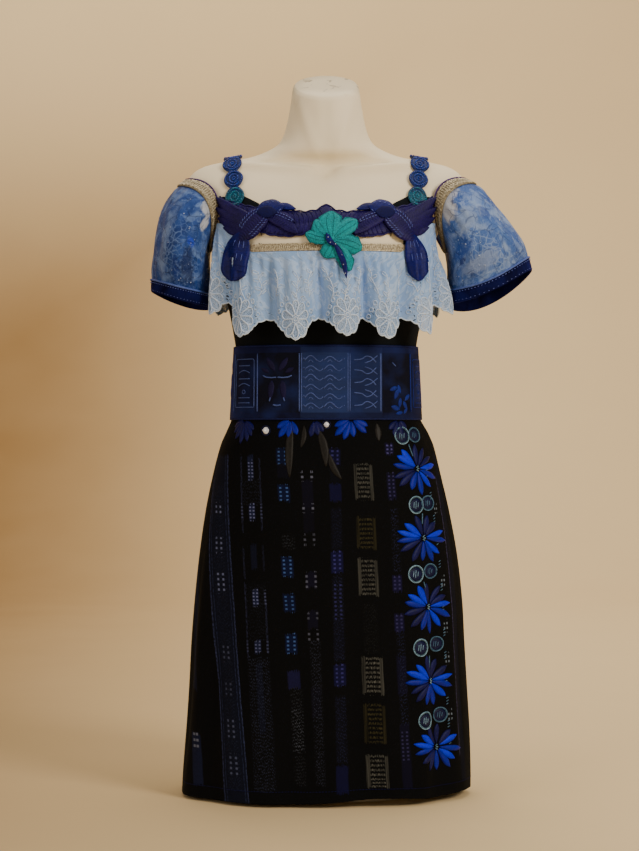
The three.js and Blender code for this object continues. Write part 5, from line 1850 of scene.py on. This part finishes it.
def make_flower(materials):
    petals = petal_leaves()
    make_leaves("flower_petals", petals, materials["teal"], "teal_applique", "flower", 0.28, 2.4)
    ribs = Joined()
    for petal in petals:
        for reach in (-0.36, 0.36):
            s = np.linspace(0.12, 0.93, 16)
            spread = reach * (0.55 + 0.45 * s)
            line = petal.on(s, spread, petal.dome(spread) + 0.3)
            ribs.add(*tube(line, 0.35, 4))
        s = np.concatenate([np.linspace(0.1, 1.0, 26), np.linspace(1.0, 0.1, 26)])
        reach = np.concatenate([np.full(26, 0.97), np.full(26, -0.97)])
        swing = 1 + 0.05 * np.sin(s * 26)
        line = petal.on(s, reach * swing, petal.thick * 0.5 + 0.25)
        ribs.add(*tube(line, 0.8, 5))
    ribs.make("flower_ribs", materials["teal_dark"], "teal_applique")
    stems = [Leaf(stem_depth, *row) for row in STEM_LEAVES]
    make_leaves("stem_leaves", stems, materials["indigo"], "indigo_applique", "flower_stem", 0.25, 1.8)
    beads = Joined()
    for leaf, s, reach, size in STEM_BEADS:
        beads.beads([stems[leaf].on(s, reach, 2.9)], size)
    beads.make("stem_beads", materials["silver"], "indigo_applique")


def make_band_detail(materials):
    """Quills of the feather band: curved ridges along each half, and a corded edge."""
    rows = np.array(BAND_ROWS, float)
    ribs = Joined()
    for side in (-1, 1):
        for x in np.arange(8, 142, 6.2):
            low = np.interp(x, rows[:, 0], rows[:, 1])
            high = np.interp(x, rows[:, 0], rows[:, 2])
            share = np.linspace(0.06, 0.94, 9)
            across = x + 5.5 * (share - 0.5) ** 2 * 4 - 4
            across = np.clip(across, 0.5, 145)
            z = low + (high - low) * share
            depth = form_depth(across, z) + BAND_UNDER + BAND_THICK * 0.9
            ribs.add(*tube(np.stack([side * across, -depth, z], -1), 0.95, 5))
    x = np.linspace(-146, 146, 150)
    for edge in (1, 2):
        swing = 1.6 if edge == 2 else -1.2
        z = np.interp(np.abs(x), rows[:, 0], rows[:, edge]) + swing * np.abs(np.sin(x / 4.4))
        depth = form_depth(x, z) + BAND_UNDER + 1.5
        ribs.add(*tube(np.stack([x, -depth, z], -1), 1.2, 6))
    ribs.make("band_quills", materials["purple"], "purple_applique")


# Materials

SKIRT_SPAN = 0.6  # metres of height that the block charts cover


def blocks(paint, height, chart):
    """A chart of blocks up the cloth: low and high in millimetres, and how strong."""
    stops = [(0.0, 0.0)]
    for low, high, level in sorted(chart):
        start = low * MM / SKIRT_SPAN
        if stops[-1][0] >= start:
            stops.pop()
        stops += [(start, level), (high * MM / SKIRT_SPAN, 0.0)]
    return paint.steps(paint.times(height, 1 / SKIRT_SPAN), stops)


# middle, half width, colour and blocks of the plain grounds
FRONT_GROUNDS = (
    (-222, 9, "#1b2244", ((20, 90, 0.6), (150, 330, 0.35))),
    (-153.5, 20, "#10162c", ((0, 470, 0.6),)),
    (-97.5, 4.6, "#1a2142", ((436, 470, 0.7), (384, 405, 0.9), (318, 350, 0.35), (268, 290, 0.9),
        (204, 222, 0.8), (100, 190, 0.25))),
    (-51, 8.0, "#081236", ((459, 479, 0.75), (408, 431, 0.95), (309, 335, 0.95), (262, 285, 0.85),
        (206, 231, 0.95))),
    (-50, 8.5, "#18173f", ((159, 182, 0.85), (440, 458, 0.12))),
    (-20, 7, "#110f26", ((400, 436, 0.5), (366, 400, 0.3), (291, 312, 0.7), (237, 262, 0.6),
        (120, 160, 0.3))),
    (15.5, 8, "#100f3a", ((459, 479, 0.55), (408, 433, 0.75), (314, 342, 0.95), (163, 192, 0.9),
        (16, 56, 0.75))),
    (15.5, 7, "#0e1028", ((344, 400, 0.25), (196, 306, 0.3), (60, 150, 0.25), (434, 456, 0.2))),
    (97, 6.5, "#15113a", ((472, 486, 0.7), (412, 446, 0.45), (286, 308, 0.85), (234, 257, 0.85),
        (150, 200, 0.3), (20, 110, 0.3))),
    (198, 6, "#10142c", ((20, 470, 0.35),)),
)
# middle, half width, colour and blocks of the warp lines
FRONT_LINES = (
    (-173.5, 1.2, "#323a60", ((0, 440, 0.9),)),
    (-133.5, 1.2, "#323a60", ((0, 470, 0.9),)),
    (-168.5, 0.7, "#2b3358", ((0, 440, 0.7),)),
    (-138.5, 0.7, "#2b3358", ((0, 470, 0.7),)),
    (-113, 1.3, "#2c3150", ((196, 300, 0.55), (306, 345, 0.45), (366, 470, 0.5))),
    (-83.5, 1.3, "#2c3150", ((204, 285, 0.55), (316, 350, 0.3), (370, 466, 0.5))),
    (190, 0.9, "#5b5688", ((60, 440, 0.5),)),
)
# middle, how far its dot columns stand from it, dot half width, pitch, colour and blocks
FRONT_DOTS = (
    (-153.5, 4.6, 1.7, 7.0, "#666f96", ((387, 404, 0.9), (337, 358, 0.75), (282, 310, 0.8),
        (190, 211, 0.35), (147, 163, 0.25), (90, 116, 0.4), (40, 68, 0.4))),
    (-97.5, 2.6, 1.3, 4.6, "#636a94", ((384, 405, 0.9), (436, 462, 0.7), (268, 290, 0.85),
        (204, 222, 0.6))),
    (-113, 0, 1.4, 4.6, "#464c6e", ((384, 405, 0.6), (204, 222, 0.5))),
    (-83.5, 0, 1.4, 4.6, "#464c6e", ((384, 405, 0.6), (268, 290, 0.7), (204, 222, 0.6))),
    (-51, 4.4, 1.5, 5.4, "#38538a", ((459, 479, 0.8), (408, 431, 1.0), (309, 335, 1.0), (262, 285, 0.75),
        (206, 231, 1.0))),
    (-20, 6, 1.5, 7.0, "#5c6074", ((436, 450, 0.9), (395, 404, 0.85), (350, 364, 0.5), (291, 312, 0.65),
        (250, 262, 0.4), (222, 236, 0.55))),
    (15.5, 3.6, 1.5, 5.6, "#3f3d84", ((459, 479, 0.5), (314, 342, 0.6), (163, 192, 0.5), (250, 300, 0.35))),
    (97, 3.2, 1.4, 5.2, "#4c4880", ((472, 486, 0.9), (412, 446, 0.35), (286, 308, 0.35),
        (234, 257, 0.35), (60, 100, 0.3))),
    (175, 2.4, 1.0, 6.5, "#7f8ea0", ((392, 402, 0.6), (292, 306, 0.7), (232, 246, 0.6), (186, 200, 0.6),
        (110, 124, 0.6))),
    (-222, 3, 2.2, 8, "#6d7388", ((70, 92, 0.7),)),
)
# middle, half width, colour and blocks of the ladders with rungs
FRONT_LADDERS = (
    (57.5, 13.5, "#60615c", ((411, 459, 0.8), (283, 332, 0.8), (152, 200, 0.95), (22, 70, 0.85))),
    (57.5, 13.5, "#444028", ((345, 389, 0.8), (85, 136, 0.8))),
)
# middle, half width, colour and blocks of the fine broken stipple
FRONT_STIPPLES = (
    (-98, 15, "#343a54", ((20, 200, 0.5), (222, 300, 0.18), (405, 436, 0.25))),
    (-48, 8, "#464b58", ((71, 131, 0.75), (131, 158, 0.3), (30, 70, 0.25), (345, 365, 0.3))),
    (-18, 7, "#363a4e", ((30, 222, 0.55),)),
    (16, 7, "#2a2d50", ((60, 150, 0.45), (196, 310, 0.4), (345, 400, 0.25))),
    (57.5, 9, "#34373a", ((205, 270, 0.25),)),
    (98, 5, "#2c3058", ((110, 230, 0.5), (312, 400, 0.5))),
    (-153.5, 11, "#2c3350", ((20, 430, 0.35),)),
)
BACK_SHIFT = 30  # the back panel's chart is the front's moved sideways


def ikat_paint(name, shift):
    """Black cotton whose warp was tied and dyed in blocks before it was woven, so their ends feather."""
    paint = Paint(name, {"Roughness": 0.86, "Specular IOR Level": 0.1})
    ruler = paint.split(paint.uv())
    along = paint.add(ruler[0], shift * MM)
    thread = paint.math("FLOOR", paint.times(along, 1 / 0.0009))
    own = paint.node("TexWhiteNoise", {"W": thread}, noise_dimensions="1D").outputs[0]
    slow = paint.noise(paint.join(paint.times(along, 60), paint.times(ruler[1], 5)), 1.0, 1)
    height = paint.add(ruler[1], paint.times(paint.math("SUBTRACT", own, 0.5), 0.0045))
    height = paint.add(height, paint.times(paint.math("SUBTRACT", slow, 0.5), 0.006))
    wobble = paint.noise(paint.join(paint.times(ruler[1], 40), 0.0), 1.0, 1)
    across = paint.add(along, paint.times(paint.math("SUBTRACT", wobble, 0.5), 0.0018))
    broken = paint.noise(paint.join(paint.times(thread, 0.9), paint.times(ruler[1], 260)), 1.0, 1)
    patchy = paint.range(broken, 0.34, 0.62)
    shade = paint.noise(paint.join(paint.times(along, 9), paint.times(ruler[1], 9)), 1.0, 3)
    base = paint.mix(shade, "#020304", "#060709")
    flecks = paint.noise(paint.join(paint.times(thread, 2.3), paint.times(ruler[1], 420)), 1.0, 1)
    base = paint.mix(paint.times(paint.range(flecks, 0.6, 0.75), 0.1), base, "#2a2f4c")

    def dye(mask, chart, tint):
        """Lays a colour where the mask and the blocks up the cloth both say so."""
        return paint.mix(paint.times(mask, blocks(paint, height, chart)), base, tint)

    worn = paint.range(patchy, 0, 1, 0.72, 1.0)
    for middle, half, tint, chart in FRONT_GROUNDS:
        mask = paint.times(paint.band(across, middle * MM, half * MM, 0.002), worn)
        base = dye(mask, chart, tint)
    dashes = paint.range(paint.wave(height, 0.0044), 0.5, 0.75)
    spots = paint.times(paint.range(broken, 0.46, 0.6), dashes)
    for middle, half, tint, chart in FRONT_STIPPLES:
        mask = paint.band(across, middle * MM, half * MM, 0.004)
        base = dye(paint.times(mask, spots), chart, tint)
    for middle, half, tint, chart in FRONT_LINES:
        mask = paint.band(across, middle * MM, half * MM, 0.0007)
        base = dye(paint.times(mask, patchy), chart, tint)
    for middle, apart, half, pitch, tint, chart in FRONT_DOTS:
        away = paint.math("ABSOLUTE", paint.math("SUBTRACT", across, middle * MM))
        mask = paint.band(away, apart * MM, half * MM, 0.0008)
        dots = paint.range(paint.wave(ruler[1], pitch * MM), 0.45, 0.75)
        base = dye(paint.times(mask, dots), chart, tint)
    streaks = paint.noise(paint.join(paint.times(along, 700), paint.times(ruler[1], 14)), 1.0, 1)
    streaks = paint.range(streaks, 0.34, 0.6, 0.15, 1.0)
    for middle, half, tint, chart in FRONT_LADDERS:
        away = paint.math("ABSOLUTE", paint.math("SUBTRACT", across, middle * MM))
        rails = paint.band(away, half * MM * 0.85, half * MM * 0.16, 0.001)
        inner = paint.band(away, 0.0, half * MM * 0.68, 0.001)
        rungs = paint.range(paint.wave(paint.add(ruler[1], paint.times(own, 0.0012)), 0.0062), 0.35, 0.7)
        mask = paint.most(paint.times(rails, 0.45), paint.times(paint.times(inner, rungs), patchy))
        base = dye(paint.times(mask, streaks), chart, tint)

    fine, bump = weave(paint, paint.join(along, ruler[1]), 0.0011, 0.00025)
    base = paint.mix(paint.times(fine, 0.35), base, "#000000")
    slub = paint.noise(paint.join(paint.times(along, 30), paint.times(ruler[1], 900)), 1.0, 2)
    return paint.done(Base_Color=base, Normal=paint.bump(slub, 0.0003, 0.4, bump))


def form_paint():
    """Warm cream paint on a hard shell, greyed and chipped on the neck's cap."""
    paint = Paint("form_cream", {"Roughness": 0.55, "Specular IOR Level": 0.32})
    at = paint.place()
    mottle = paint.noise(at, 9, 4)
    fine = paint.noise(at, 170, 3)
    base = paint.mix(mottle, "#e8dab8", "#f7ecd2")
    height = paint.split(at)[2]
    on_cap = paint.range(height, 0.972, 0.981)
    wear = paint.range(paint.noise(at, 60, 4, 0.6), 0.6, 0.68)
    base = paint.mix(paint.times(on_cap, 0.6), base, "#c8bd9f")
    base = paint.mix(paint.times(paint.times(on_cap, wear), 0.8), base, "#85775c")
    scuff = paint.range(paint.noise(paint.scaled(at, (40, 40, 12)), 1.0, 4, 0.4), 0.68, 0.76)
    base = paint.mix(paint.times(scuff, 0.25), base, "#cdbd98")
    bump = paint.bump(paint.add(paint.times(fine, 0.3), mottle), 0.0007, 0.35)
    return paint.done(Base_Color=base, Normal=bump)


def bodice_paint():
    """Plain black cotton."""
    paint = Paint("bodice_black", {"Roughness": 0.9, "Specular IOR Level": 0.12})
    height, bump = weave(paint, paint.uv(), 0.0011, 0.0003)
    mottle = paint.noise(paint.place(), 30, 3)
    base = paint.mix(paint.times(height, mottle), "#070b10", "#171e26")
    return paint.done(Base_Color=base, Normal=bump)


def thread_paint(name, dark, bright, rough, scale):
    """Silky embroidery thread: short strokes of lighter and darker shine."""
    paint = Paint(name, {"Roughness": rough, "Specular IOR Level": 0.16})
    at = paint.place()
    strokes = paint.noise(at, scale, 2, 0.3)
    wide = paint.noise(at, scale / 12, 2)
    share = paint.range(paint.add(paint.times(strokes, 0.65), paint.times(wide, 0.35)), 0.32, 0.68)
    base = paint.mix(share, dark, bright)
    return paint.done(Base_Color=base, Normal=paint.bump(strokes, 0.0004, 0.6))


def velvet_paint():
    paint = Paint("velvet_navy", {"Roughness": 0.95, "Sheen Weight": 0.25, "Sheen Roughness": 0.3,
                                  "Specular IOR Level": 0.05, "Sheen Tint": "#1a2ad0"})
    at = paint.place()
    nap = paint.noise(at, 900, 2)
    crushed = paint.noise(at, 28, 3, 0.6)
    base = paint.mix(paint.range(crushed, 0.35, 0.7), "#080a2c", "#171d60")
    base = paint.mix(paint.times(nap, 0.4), base, "#02031a")
    return paint.done(Base_Color=base, Normal=paint.bump(paint.add(nap, crushed), 0.0009, 0.5))


# each sleeve's single spots: place round and down from the trim's front, half sizes, colour and strength
SLEEVE_SPOTS = {
    "left": (
        (0.006, 0.026, 0.011, 0.007, "#b9c0cc", 0.9), (0.020, 0.038, 0.007, 0.011, "#b9c0cc", 0.9),
        (0.012, 0.078, 0.007, 0.006, "#1d3fc4", 0.85), (0.013, 0.114, 0.011, 0.026, "#081a4c", 0.75),
        (-0.006, 0.128, 0.006, 0.016, "#0a2470", 0.6), (-0.034, 0.10, 0.010, 0.05, "#8298be", 0.3),
    ),
    "right": (
        (0.010, 0.032, 0.015, 0.013, "#b2b8c2", 0.9), (-0.012, 0.022, 0.014, 0.009, "#b2b8c6", 0.8),
        (0.030, 0.088, 0.020, 0.014, "#1f479e", 0.8), (0.038, 0.105, 0.008, 0.006, "#0b2470", 0.8),
        (-0.030, 0.070, 0.010, 0.008, "#1d3c86", 0.6), (-0.004, 0.062, 0.020, 0.012, "#8fa2c0", 0.5),
        (0.010, 0.125, 0.034, 0.012, "#93a5c4", 0.45),
    ),
}


def sleeve_paint(name, side, deep, middle, pale, vein):
    """Printed organza: a mottled ground, crooked veins, pale netted marks and listed spots."""
    paint = Paint(name, {"Roughness": 0.55, "Sheen Weight": 0.05, "Sheen Roughness": 0.3,
                         "Specular IOR Level": 0.2})
    at = paint.place()
    ruler = paint.split(paint.uv())
    ground = paint.range(paint.noise(at, 17, 4, 0.8), 0.34, 0.68)
    base = paint.mix(ground, deep, middle)
    cloud = paint.range(paint.noise(at, 34, 4, 1.2), 0.5, 0.66)
    base = paint.mix(paint.times(cloud, 0.75), base, pale)
    crooked = paint.node("TexNoise", {"Vector": at, "Scale": 38.0}).outputs[1]
    shift = paint.scaled(crooked, (0.014, 0.014, 0.014))
    bent = paint.node("VectorMath", {0: at, 1: shift}, operation="ADD").outputs[0]
    edge = paint.voronoi(bent, 52)
    veins = paint.range(edge, 0.01, 0.05, 1.0, 0.0)
    finer = paint.range(paint.voronoi(bent, 120), 0.03, 0.10, 1.0, 0.0)
    gate = paint.range(paint.noise(at, 22, 2), 0.42, 0.6)
    base = paint.mix(paint.times(paint.times(finer, gate), 0.5), base, pale)
    for u, v, half_u, half_v, tint, strength in SLEEVE_SPOTS[side]:
        away_u = paint.times(paint.math("SUBTRACT", ruler[0], u), 1 / half_u)
        away_v = paint.times(paint.math("SUBTRACT", ruler[1], v), 1 / half_v)
        away = paint.math("SQRT", paint.add(paint.times(away_u, away_u), paint.times(away_v, away_v)))
        away = paint.add(away, paint.times(paint.math("SUBTRACT", paint.noise(at, 90, 3, 0.8), 0.5), 1.6))
        base = paint.mix(paint.times(paint.range(away, 0.8, 1.25, 1.0, 0.0), strength), base, tint)
    gate = paint.range(paint.noise(at, 55, 2), 0.42, 0.6)
    base = paint.mix(paint.times(paint.times(veins, gate), 0.6), base, vein)
    speck = paint.range(paint.noise(at, 240, 3, 0.5), 0.58, 0.66)
    base = paint.mix(paint.times(speck, 0.35), base, pale)
    glint = paint.range(paint.voronoi(at, 330, "F1"), 0.06, 0.14, 1.0, 0.0)
    base = paint.mix(paint.times(glint, 0.3), base, "#a5c0f0")
    fine, bump = weave(paint, paint.uv(), 0.0008, 0.0002)
    return paint.done(Base_Color=paint.mix(paint.times(fine, 0.18), base, deep),
                      Normal=paint.bump(paint.most(veins, finer), 0.0004, 0.4, bump))


LACE_PETALS = 10


def lace_paint():
    """Lace: fine stitched leaves above, flowers with netted petals and small holes at the edge."""
    paint = Paint("lace_ice_blue", {"Roughness": 0.78, "Specular IOR Level": 0.15})
    ruler = paint.uv()
    parts = paint.split(ruler)
    motif = paint.split(paint.uv("motif"))
    radius = paint.math("SQRT", paint.add(paint.times(motif[0], motif[0]), paint.times(motif[1], motif[1])))
    turn = paint.math("ARCTAN2", motif[1], motif[0])
    petal = paint.math("ABSOLUTE", paint.math("SINE", paint.times(turn, LACE_PETALS / 2)))
    in_petal = paint.times(paint.range(petal, 0.26, 0.34), paint.band(radius, 0.0158, 0.0092, 0.0012))
    heart = paint.range(radius, 0.0036, 0.0044, 1.0, 0.0)
    around = paint.band(radius, 0.0315, 0.0034, 0.001)
    low = paint.range(parts[1], 0.082, 0.090)
    net_edge = paint.voronoi(ruler, 640)
    holes = paint.range(net_edge, 0.13, 0.17)
    coarse = paint.range(paint.voronoi(ruler, 230), 0.2, 0.26)
    net = paint.times(paint.most(in_petal, heart), holes)
    gaps = paint.times(paint.times(around, coarse), low)
    upper = paint.noise(ruler, 52, 3, 1.4)
    eyelets = paint.times(coarse, paint.range(parts[1], 0.05, 0.06))
    eyelets = paint.times(paint.range(upper, 0.66, 0.68), eyelets)
    gone = paint.most(paint.times(net, 0.72), paint.times(gaps, 0.95), paint.times(eyelets, 0.85))
    relief = paint.noise(paint.scaled(ruler, (1.0, 0.55, 1.0)), 95, 3, 1.6)
    stitched = paint.range(relief, 0.5, 0.56)
    base = paint.mix(paint.range(paint.noise(ruler, 12, 2), 0.3, 0.7), "#7ba1d8", "#98b8e6")
    base = paint.mix(paint.times(stitched, 0.45), base, "#b9d1f2")
    solid = paint.range(net_edge, 0.0, 0.2, 1.0, 0.0)
    base = paint.mix(paint.times(paint.most(in_petal, heart), paint.times(solid, 0.4)), base, "#cfdff2")
    bump = weave(paint, ruler, 0.0009, 0.0002)[1]
    bump = paint.bump(paint.add(stitched, paint.times(relief, 0.6)), 0.0009, 0.5, bump)
    return paint.done(Base_Color=base, Normal=bump, Alpha=paint.math("SUBTRACT", 1.0, gone))


# start of each panel along the belt, from the middle of the front, and its ground colour
BELT_PANELS = (
    (-372, "#0b1238"), (-330, "#18286a"), (-262, "#070b22"), (-205, "#0f1c54"), (-150, "#080f30"),
    (-98, "#06091c"), (-37, "#243362"), (31, "#1a2650"), (76, "#04071c"), (128, "#0b1238"),
    (180, "#18286a"), (246, "#070b22"), (300, "#0f1c54"),
)
BELT_HALF = 372.5


def belt_paint():
    """Ribbed navy weave: panels of slate and midnight between an indigo top edge and a navy lower edge."""
    paint = Paint("belt_weave", {"Roughness": 0.8, "Specular IOR Level": 0.14})
    ruler = paint.split(paint.uv())
    share = paint.range(ruler[0], -BELT_HALF * MM, BELT_HALF * MM)
    base = paint.steps(share, [((start + BELT_HALF) / (2 * BELT_HALF), tint) for start, tint in BELT_PANELS])
    height = ruler[1]
    top = paint.range(height, 0.6105, 0.6115)
    base = paint.mix(paint.times(top, 0.5), base, "#121a4e")
    low = paint.range(height, 0.5290, 0.5300, 1.0, 0.0)
    base = paint.mix(paint.times(low, 0.7), base, "#070b30")
    ribs = paint.wave(height, 0.0016)
    threads = paint.wave(ruler[0], 0.0012)
    streak = paint.noise(paint.join(paint.times(ruler[0], 25), paint.times(height, 800)), 1.0, 2)
    base = paint.mix(paint.times(paint.times(ribs, streak), 0.6), base, "#02030e")
    faded = paint.noise(paint.place(), 24, 3)
    base = paint.mix(paint.times(paint.range(faded, 0.45, 0.75), 0.25), base, "#2b4196")
    relief = paint.add(ribs, paint.times(threads, 0.4))
    return paint.done(Base_Color=base, Normal=paint.bump(relief, 0.0004, 0.7))


def metal_paint(name, low, high, rough=0.38):
    paint = Paint(name, {"Roughness": rough, "Metallic": 0.35, "Specular IOR Level": 0.5})
    grain = paint.noise(paint.place(), 520, 2, 0.4)
    base = paint.mix(paint.range(grain, 0.35, 0.68), low, high)
    return paint.done(Base_Color=base, Normal=paint.bump(grain, 0.0005, 0.7))


def glass_paint(name, low, high, rough=0.18, coat=0.6):
    paint = Paint(name, {"Roughness": rough, "Specular IOR Level": 0.5 + coat / 2, "Coat Weight": coat})
    tone = paint.noise(paint.place(), 210, 1)
    return paint.done(Base_Color=paint.mix(paint.range(tone, 0.35, 0.65), low, high))


def strap_paint():
    """Blue cord that turns teal on the lowest link in front."""
    paint = Paint("strap_blue", {"Roughness": 0.5, "Specular IOR Level": 0.25})
    at = paint.place()
    parts = paint.split(at)
    strokes = paint.noise(at, 560, 2, 0.3)
    low = paint.range(parts[2], 0.829, 0.836, 1.0, 0.0)
    front = paint.range(parts[1], -0.03, -0.02, 1.0, 0.0)
    teal = paint.times(low, front)
    dark = paint.mix(teal, "#020e38", "#022c46")
    bright = paint.mix(teal, "#0a2c74", "#0b5f7a")
    base = paint.mix(paint.range(strokes, 0.35, 0.65), dark, bright)
    return paint.done(Base_Color=base, Normal=paint.bump(strokes, 0.0005, 0.6))


# silky threads: their material's name, dark and bright colours, roughness and how fine their strokes are
THREADS = {
    "lace_cord": ("lace_cord_white", "#a9c4e6", "#e4f0ff", 0.7, 900),
    "purple": ("feather_purple", "#090630", "#211260", 0.5, 620),
    "plum": ("cord_plum", "#220c44", "#55307e", 0.5, 620),
    "indigo": ("feather_indigo", "#030538", "#0c1472", 0.45, 620),
    "eye": ("bird_eye_navy", "#01022c", "#05074c", 0.75, 620),
    "dash": ("metal_dash", "#303f98", "#7c8cd4", 0.4, 800),
    "teal": ("petal_teal", "#02626a", "#0a9ea6", 0.55, 560),
    "teal_dark": ("petal_teal_vein", "#02505a", "#067f88", 0.55, 560),
    "royal": ("daisy_royal", "#020ba0", "#0828e0", 0.5, 640),
    "blue": ("daisy_blue", "#01086a", "#0516a0", 0.5, 640),
    "violet": ("daisy_violet", "#02032c", "#060a58", 0.5, 640),
    "ring": ("ring_pale", "#2f566e", "#8db0c6", 0.4, 640),
    "ring_dim": ("ring_dim", "#203f5a", "#587c98", 0.45, 640),
    "rim": ("ring_ground_navy", "#03051c", "#0a1040", 0.5, 640),
    "belt_edge": ("belt_edge_indigo", "#070c34", "#141e54", 0.7, 640),
    "grey": ("ribbon_grey", "#0d0c0b", "#1d1b19", 0.5, 420),
    "wave": ("float_pale", "#2e3d76", "#5163a0", 0.6, 700),
    "float_purple": ("float_purple", "#080622", "#140f3e", 0.7, 700),
    "float_royal": ("float_royal", "#07125c", "#102886", 0.6, 700),
    "piping": ("piping_blue", "#26408e", "#6076b8", 0.5, 640),
}

materials = {
    "form": form_paint(),
    "bodice": bodice_paint(),
    "ikat": ikat_paint("ikat_warp_front", 0),
    "ikat_back": ikat_paint("ikat_warp_back", BACK_SHIFT),
    "belt": belt_paint(),
    "lace": lace_paint(),
    "sleeve_left": sleeve_paint("organza_left", "left", "#0c2a6c", "#2a4e98", "#6c8ac0", "#081a44"),
    "sleeve_right": sleeve_paint("organza_right", "right", "#274a92", "#5375b4", "#8ba3cc", "#12255a"),
    "velvet": velvet_paint(),
    "gold": metal_paint("gold_braid", "#8c8068", "#e2d8bc"),
    "gold_dark": metal_paint("gold_braid_ground", "#6a604c", "#a2987c", 0.55),
    "silver": metal_paint("silver_bead", "#8d93a6", "#dfe4ee", 0.25),
    "strap": strap_paint(),
    "strap_bead": glass_paint("strap_bead_blue", "#031a70", "#0f44b4", 0.32, 0.15),
    "strap_teal": glass_paint("strap_bead_teal", "#034668", "#127a9a", 0.32, 0.15),
    "pearl": glass_paint("pearl_white", "#b9bfd2", "#eef1f8"),
    "sequin": glass_paint("sequin_ice", "#7088b8", "#c0cde8"),
}
materials.update({key: thread_paint(*row) for key, row in THREADS.items()})


# The photo's camera, its light and the floor

def make_camera():
    data = bpy.data.cameras.new("camera")
    data.sensor_fit = "VERTICAL"
    data.sensor_height = SENSOR
    data.lens = SENSOR * CAMERA_DISTANCE / PICTURE_HEIGHT
    data.clip_end = 60
    camera = bpy.data.objects.new("camera", data)
    bpy.context.collection.objects.link(camera)
    camera.location = (CAMERA_SIDE * MM, -CAMERA_DISTANCE * MM, CAMERA_HEIGHT * MM)
    camera.rotation_euler = (math.pi / 2, 0, 0)
    bpy.context.scene.camera = camera


def make_lamp(name, place, aim, size, power, tint):
    data = bpy.data.lights.new(name, "AREA")
    data.shape = "RECTANGLE"
    data.size, data.size_y = size
    data.energy = power
    data.color = colour(tint)[:3]
    lamp = bpy.data.objects.new(name, data)
    bpy.context.collection.objects.link(lamp)
    lamp.location = place
    lamp.rotation_euler = (Vector(aim) - Vector(place)).to_track_quat("-Z", "Y").to_euler()


def make_stage():
    """A plain paper sweep with painted shade, a little darker and warmer towards the viewer's left, and
    painted light higher up, to the right and far to the left.
    """
    paint = Paint("backdrop_beige", {"Roughness": 0.95, "Specular IOR Level": 0.05})
    at = paint.place()
    grain = paint.noise(at, 3, 2)
    parts = paint.split(at)
    # painted light and shade on the backdrop: lighter to the right, higher up and far to the left, darker
    # and warmer low on the left
    side = paint.range(parts[0], -1.3, 0.5, soft=True)
    painted_light_far_left = paint.range(parts[0], -4.5, -2.2, 1.0, 0.0, soft=True)
    high = paint.range(parts[2], 0.7, 2.1, soft=True)
    tone = paint.mix(paint.most(side, high, painted_light_far_left), "#8c6c42", "#e4cda2")
    wall = paint.done(Base_Color=paint.mix(paint.times(grain, 0.2), tone, "#cfb68e"))
    half, near, far, rise, radius = 12.0, -9.0, 5.2, 9.0, 2.0
    profile = [(near, 0.0), (far - radius, 0.0)]
    for i in range(1, 13):
        a = math.pi / 2 * i / 12
        profile.append((far - radius + radius * math.sin(a), radius - radius * math.cos(a)))
    profile.append((far, rise))
    points = [(x * 1000, y * 1000, z * 1000) for y, z in profile for x in (-half, half)]
    faces = [(2 * i, 2 * i + 1, 2 * i + 3, 2 * i + 2) for i in range(len(profile) - 1)]
    floor = new_object("backdrop", points, faces)
    floor.data.materials.append(wall)


make_camera()
make_stage()
make_lamp("key", (2.3, -2.5, 2.1), (0, 0, 0.6), (1.2, 1.2), 95, "#fff3e2")
make_lamp("fill", (-2.4, -2.2, 1.4), (0, 0, 0.5), (2.2, 2.2), 34, "#fff0dd")
make_lamp("wall", (-0.6, 2.4, 3.9), (0.9, 5.2, 1.0), (4.5, 1.2), 150, "#fff3e2")
make_lamp("top", (0.2, 0.4, 3.2), (0, 0, 0.5), (2.0, 2.0), 34, "#fff6ea")
world = bpy.data.worlds.new("studio")
bpy.context.scene.world = world
world.use_nodes = True
world.node_tree.nodes["Background"].inputs[0].default_value = colour("#fff1df")
world.node_tree.nodes["Background"].inputs[1].default_value = 0.35


# Build

front_ruler = Ruler(skirt_front_surface, 180 + SEAM_TURN, 364.9, 270, np.arange(4, 586, 12))
back_ruler = Ruler(skirt_back_surface, SEAM_TURN, 180 - SEAM_TURN, 90, np.arange(4, 586, 12))
belt_ruler = Ruler(belt_surface, 90, 450, 270, np.linspace(BELT_BOTTOM, BELT_TOP, 12))
front_lace = Lace(FRONT_WAVES)
back_lace = Lace(BACK_WAVES)
ruffle_depth = RuffleDepth(front_lace)

make_form(materials["form"])
make_bodice("bodice_front_cloth", 180, 360, materials["bodice"])
make_bodice("bodice_back_cloth", 0, 180, materials["bodice"])
for suffix, height, first, last, long in (("front", NECKLINE_FRONT, 180, 360, 0.23),
                                          ("back", NECKLINE_BACK, 0, 180, 0.19)):
    braid = make_neck_braid(suffix, height, first, last, materials)
make_skirt(materials)
make_skirt_embroidery(front_ruler, "front", DAISIES, RINGS_BRIGHT, RINGS_DIM, materials)
make_skirt_embroidery(back_ruler, "back", BACK_DAISIES, BACK_RINGS, BACK_RINGS_DIM, materials)
make_ribbons(materials)
make_hem_stitches(materials)
make_belt(materials["belt"])
make_belt_floats(belt_ruler, materials)
for suffix, lace in (("front", front_lace), ("back", back_lace)):
    ruffle = make_lace(f"ruffle_{suffix}_lace", lace, materials["lace"])
    make_lace_cords(suffix, lace, materials["lace_cord"])
# side, its table, and in metres the sleeve cloth's width, its area and the cuff's length
for side, table, wide, area, round_cuff in (("left", LEFT_SLEEVE, 0.44, 0.052, 0.37),
                                            ("right", RIGHT_SLEEVE, 0.465, 0.056, 0.445)):
    sleeve = Sleeve(side, table)
    cloth, cuff = sleeve.make(materials)
    trim = sleeve.make_trim(materials)
make_strap("strap_chain_left", -1, "strap_left", materials)
make_strap("strap_chain_right", 1, "strap_right", materials)
make_wing_band(materials["purple"])
make_band_detail(materials)
make_bird(-1, "left", materials)
make_bird(1, "right", materials)
make_flower(materials)
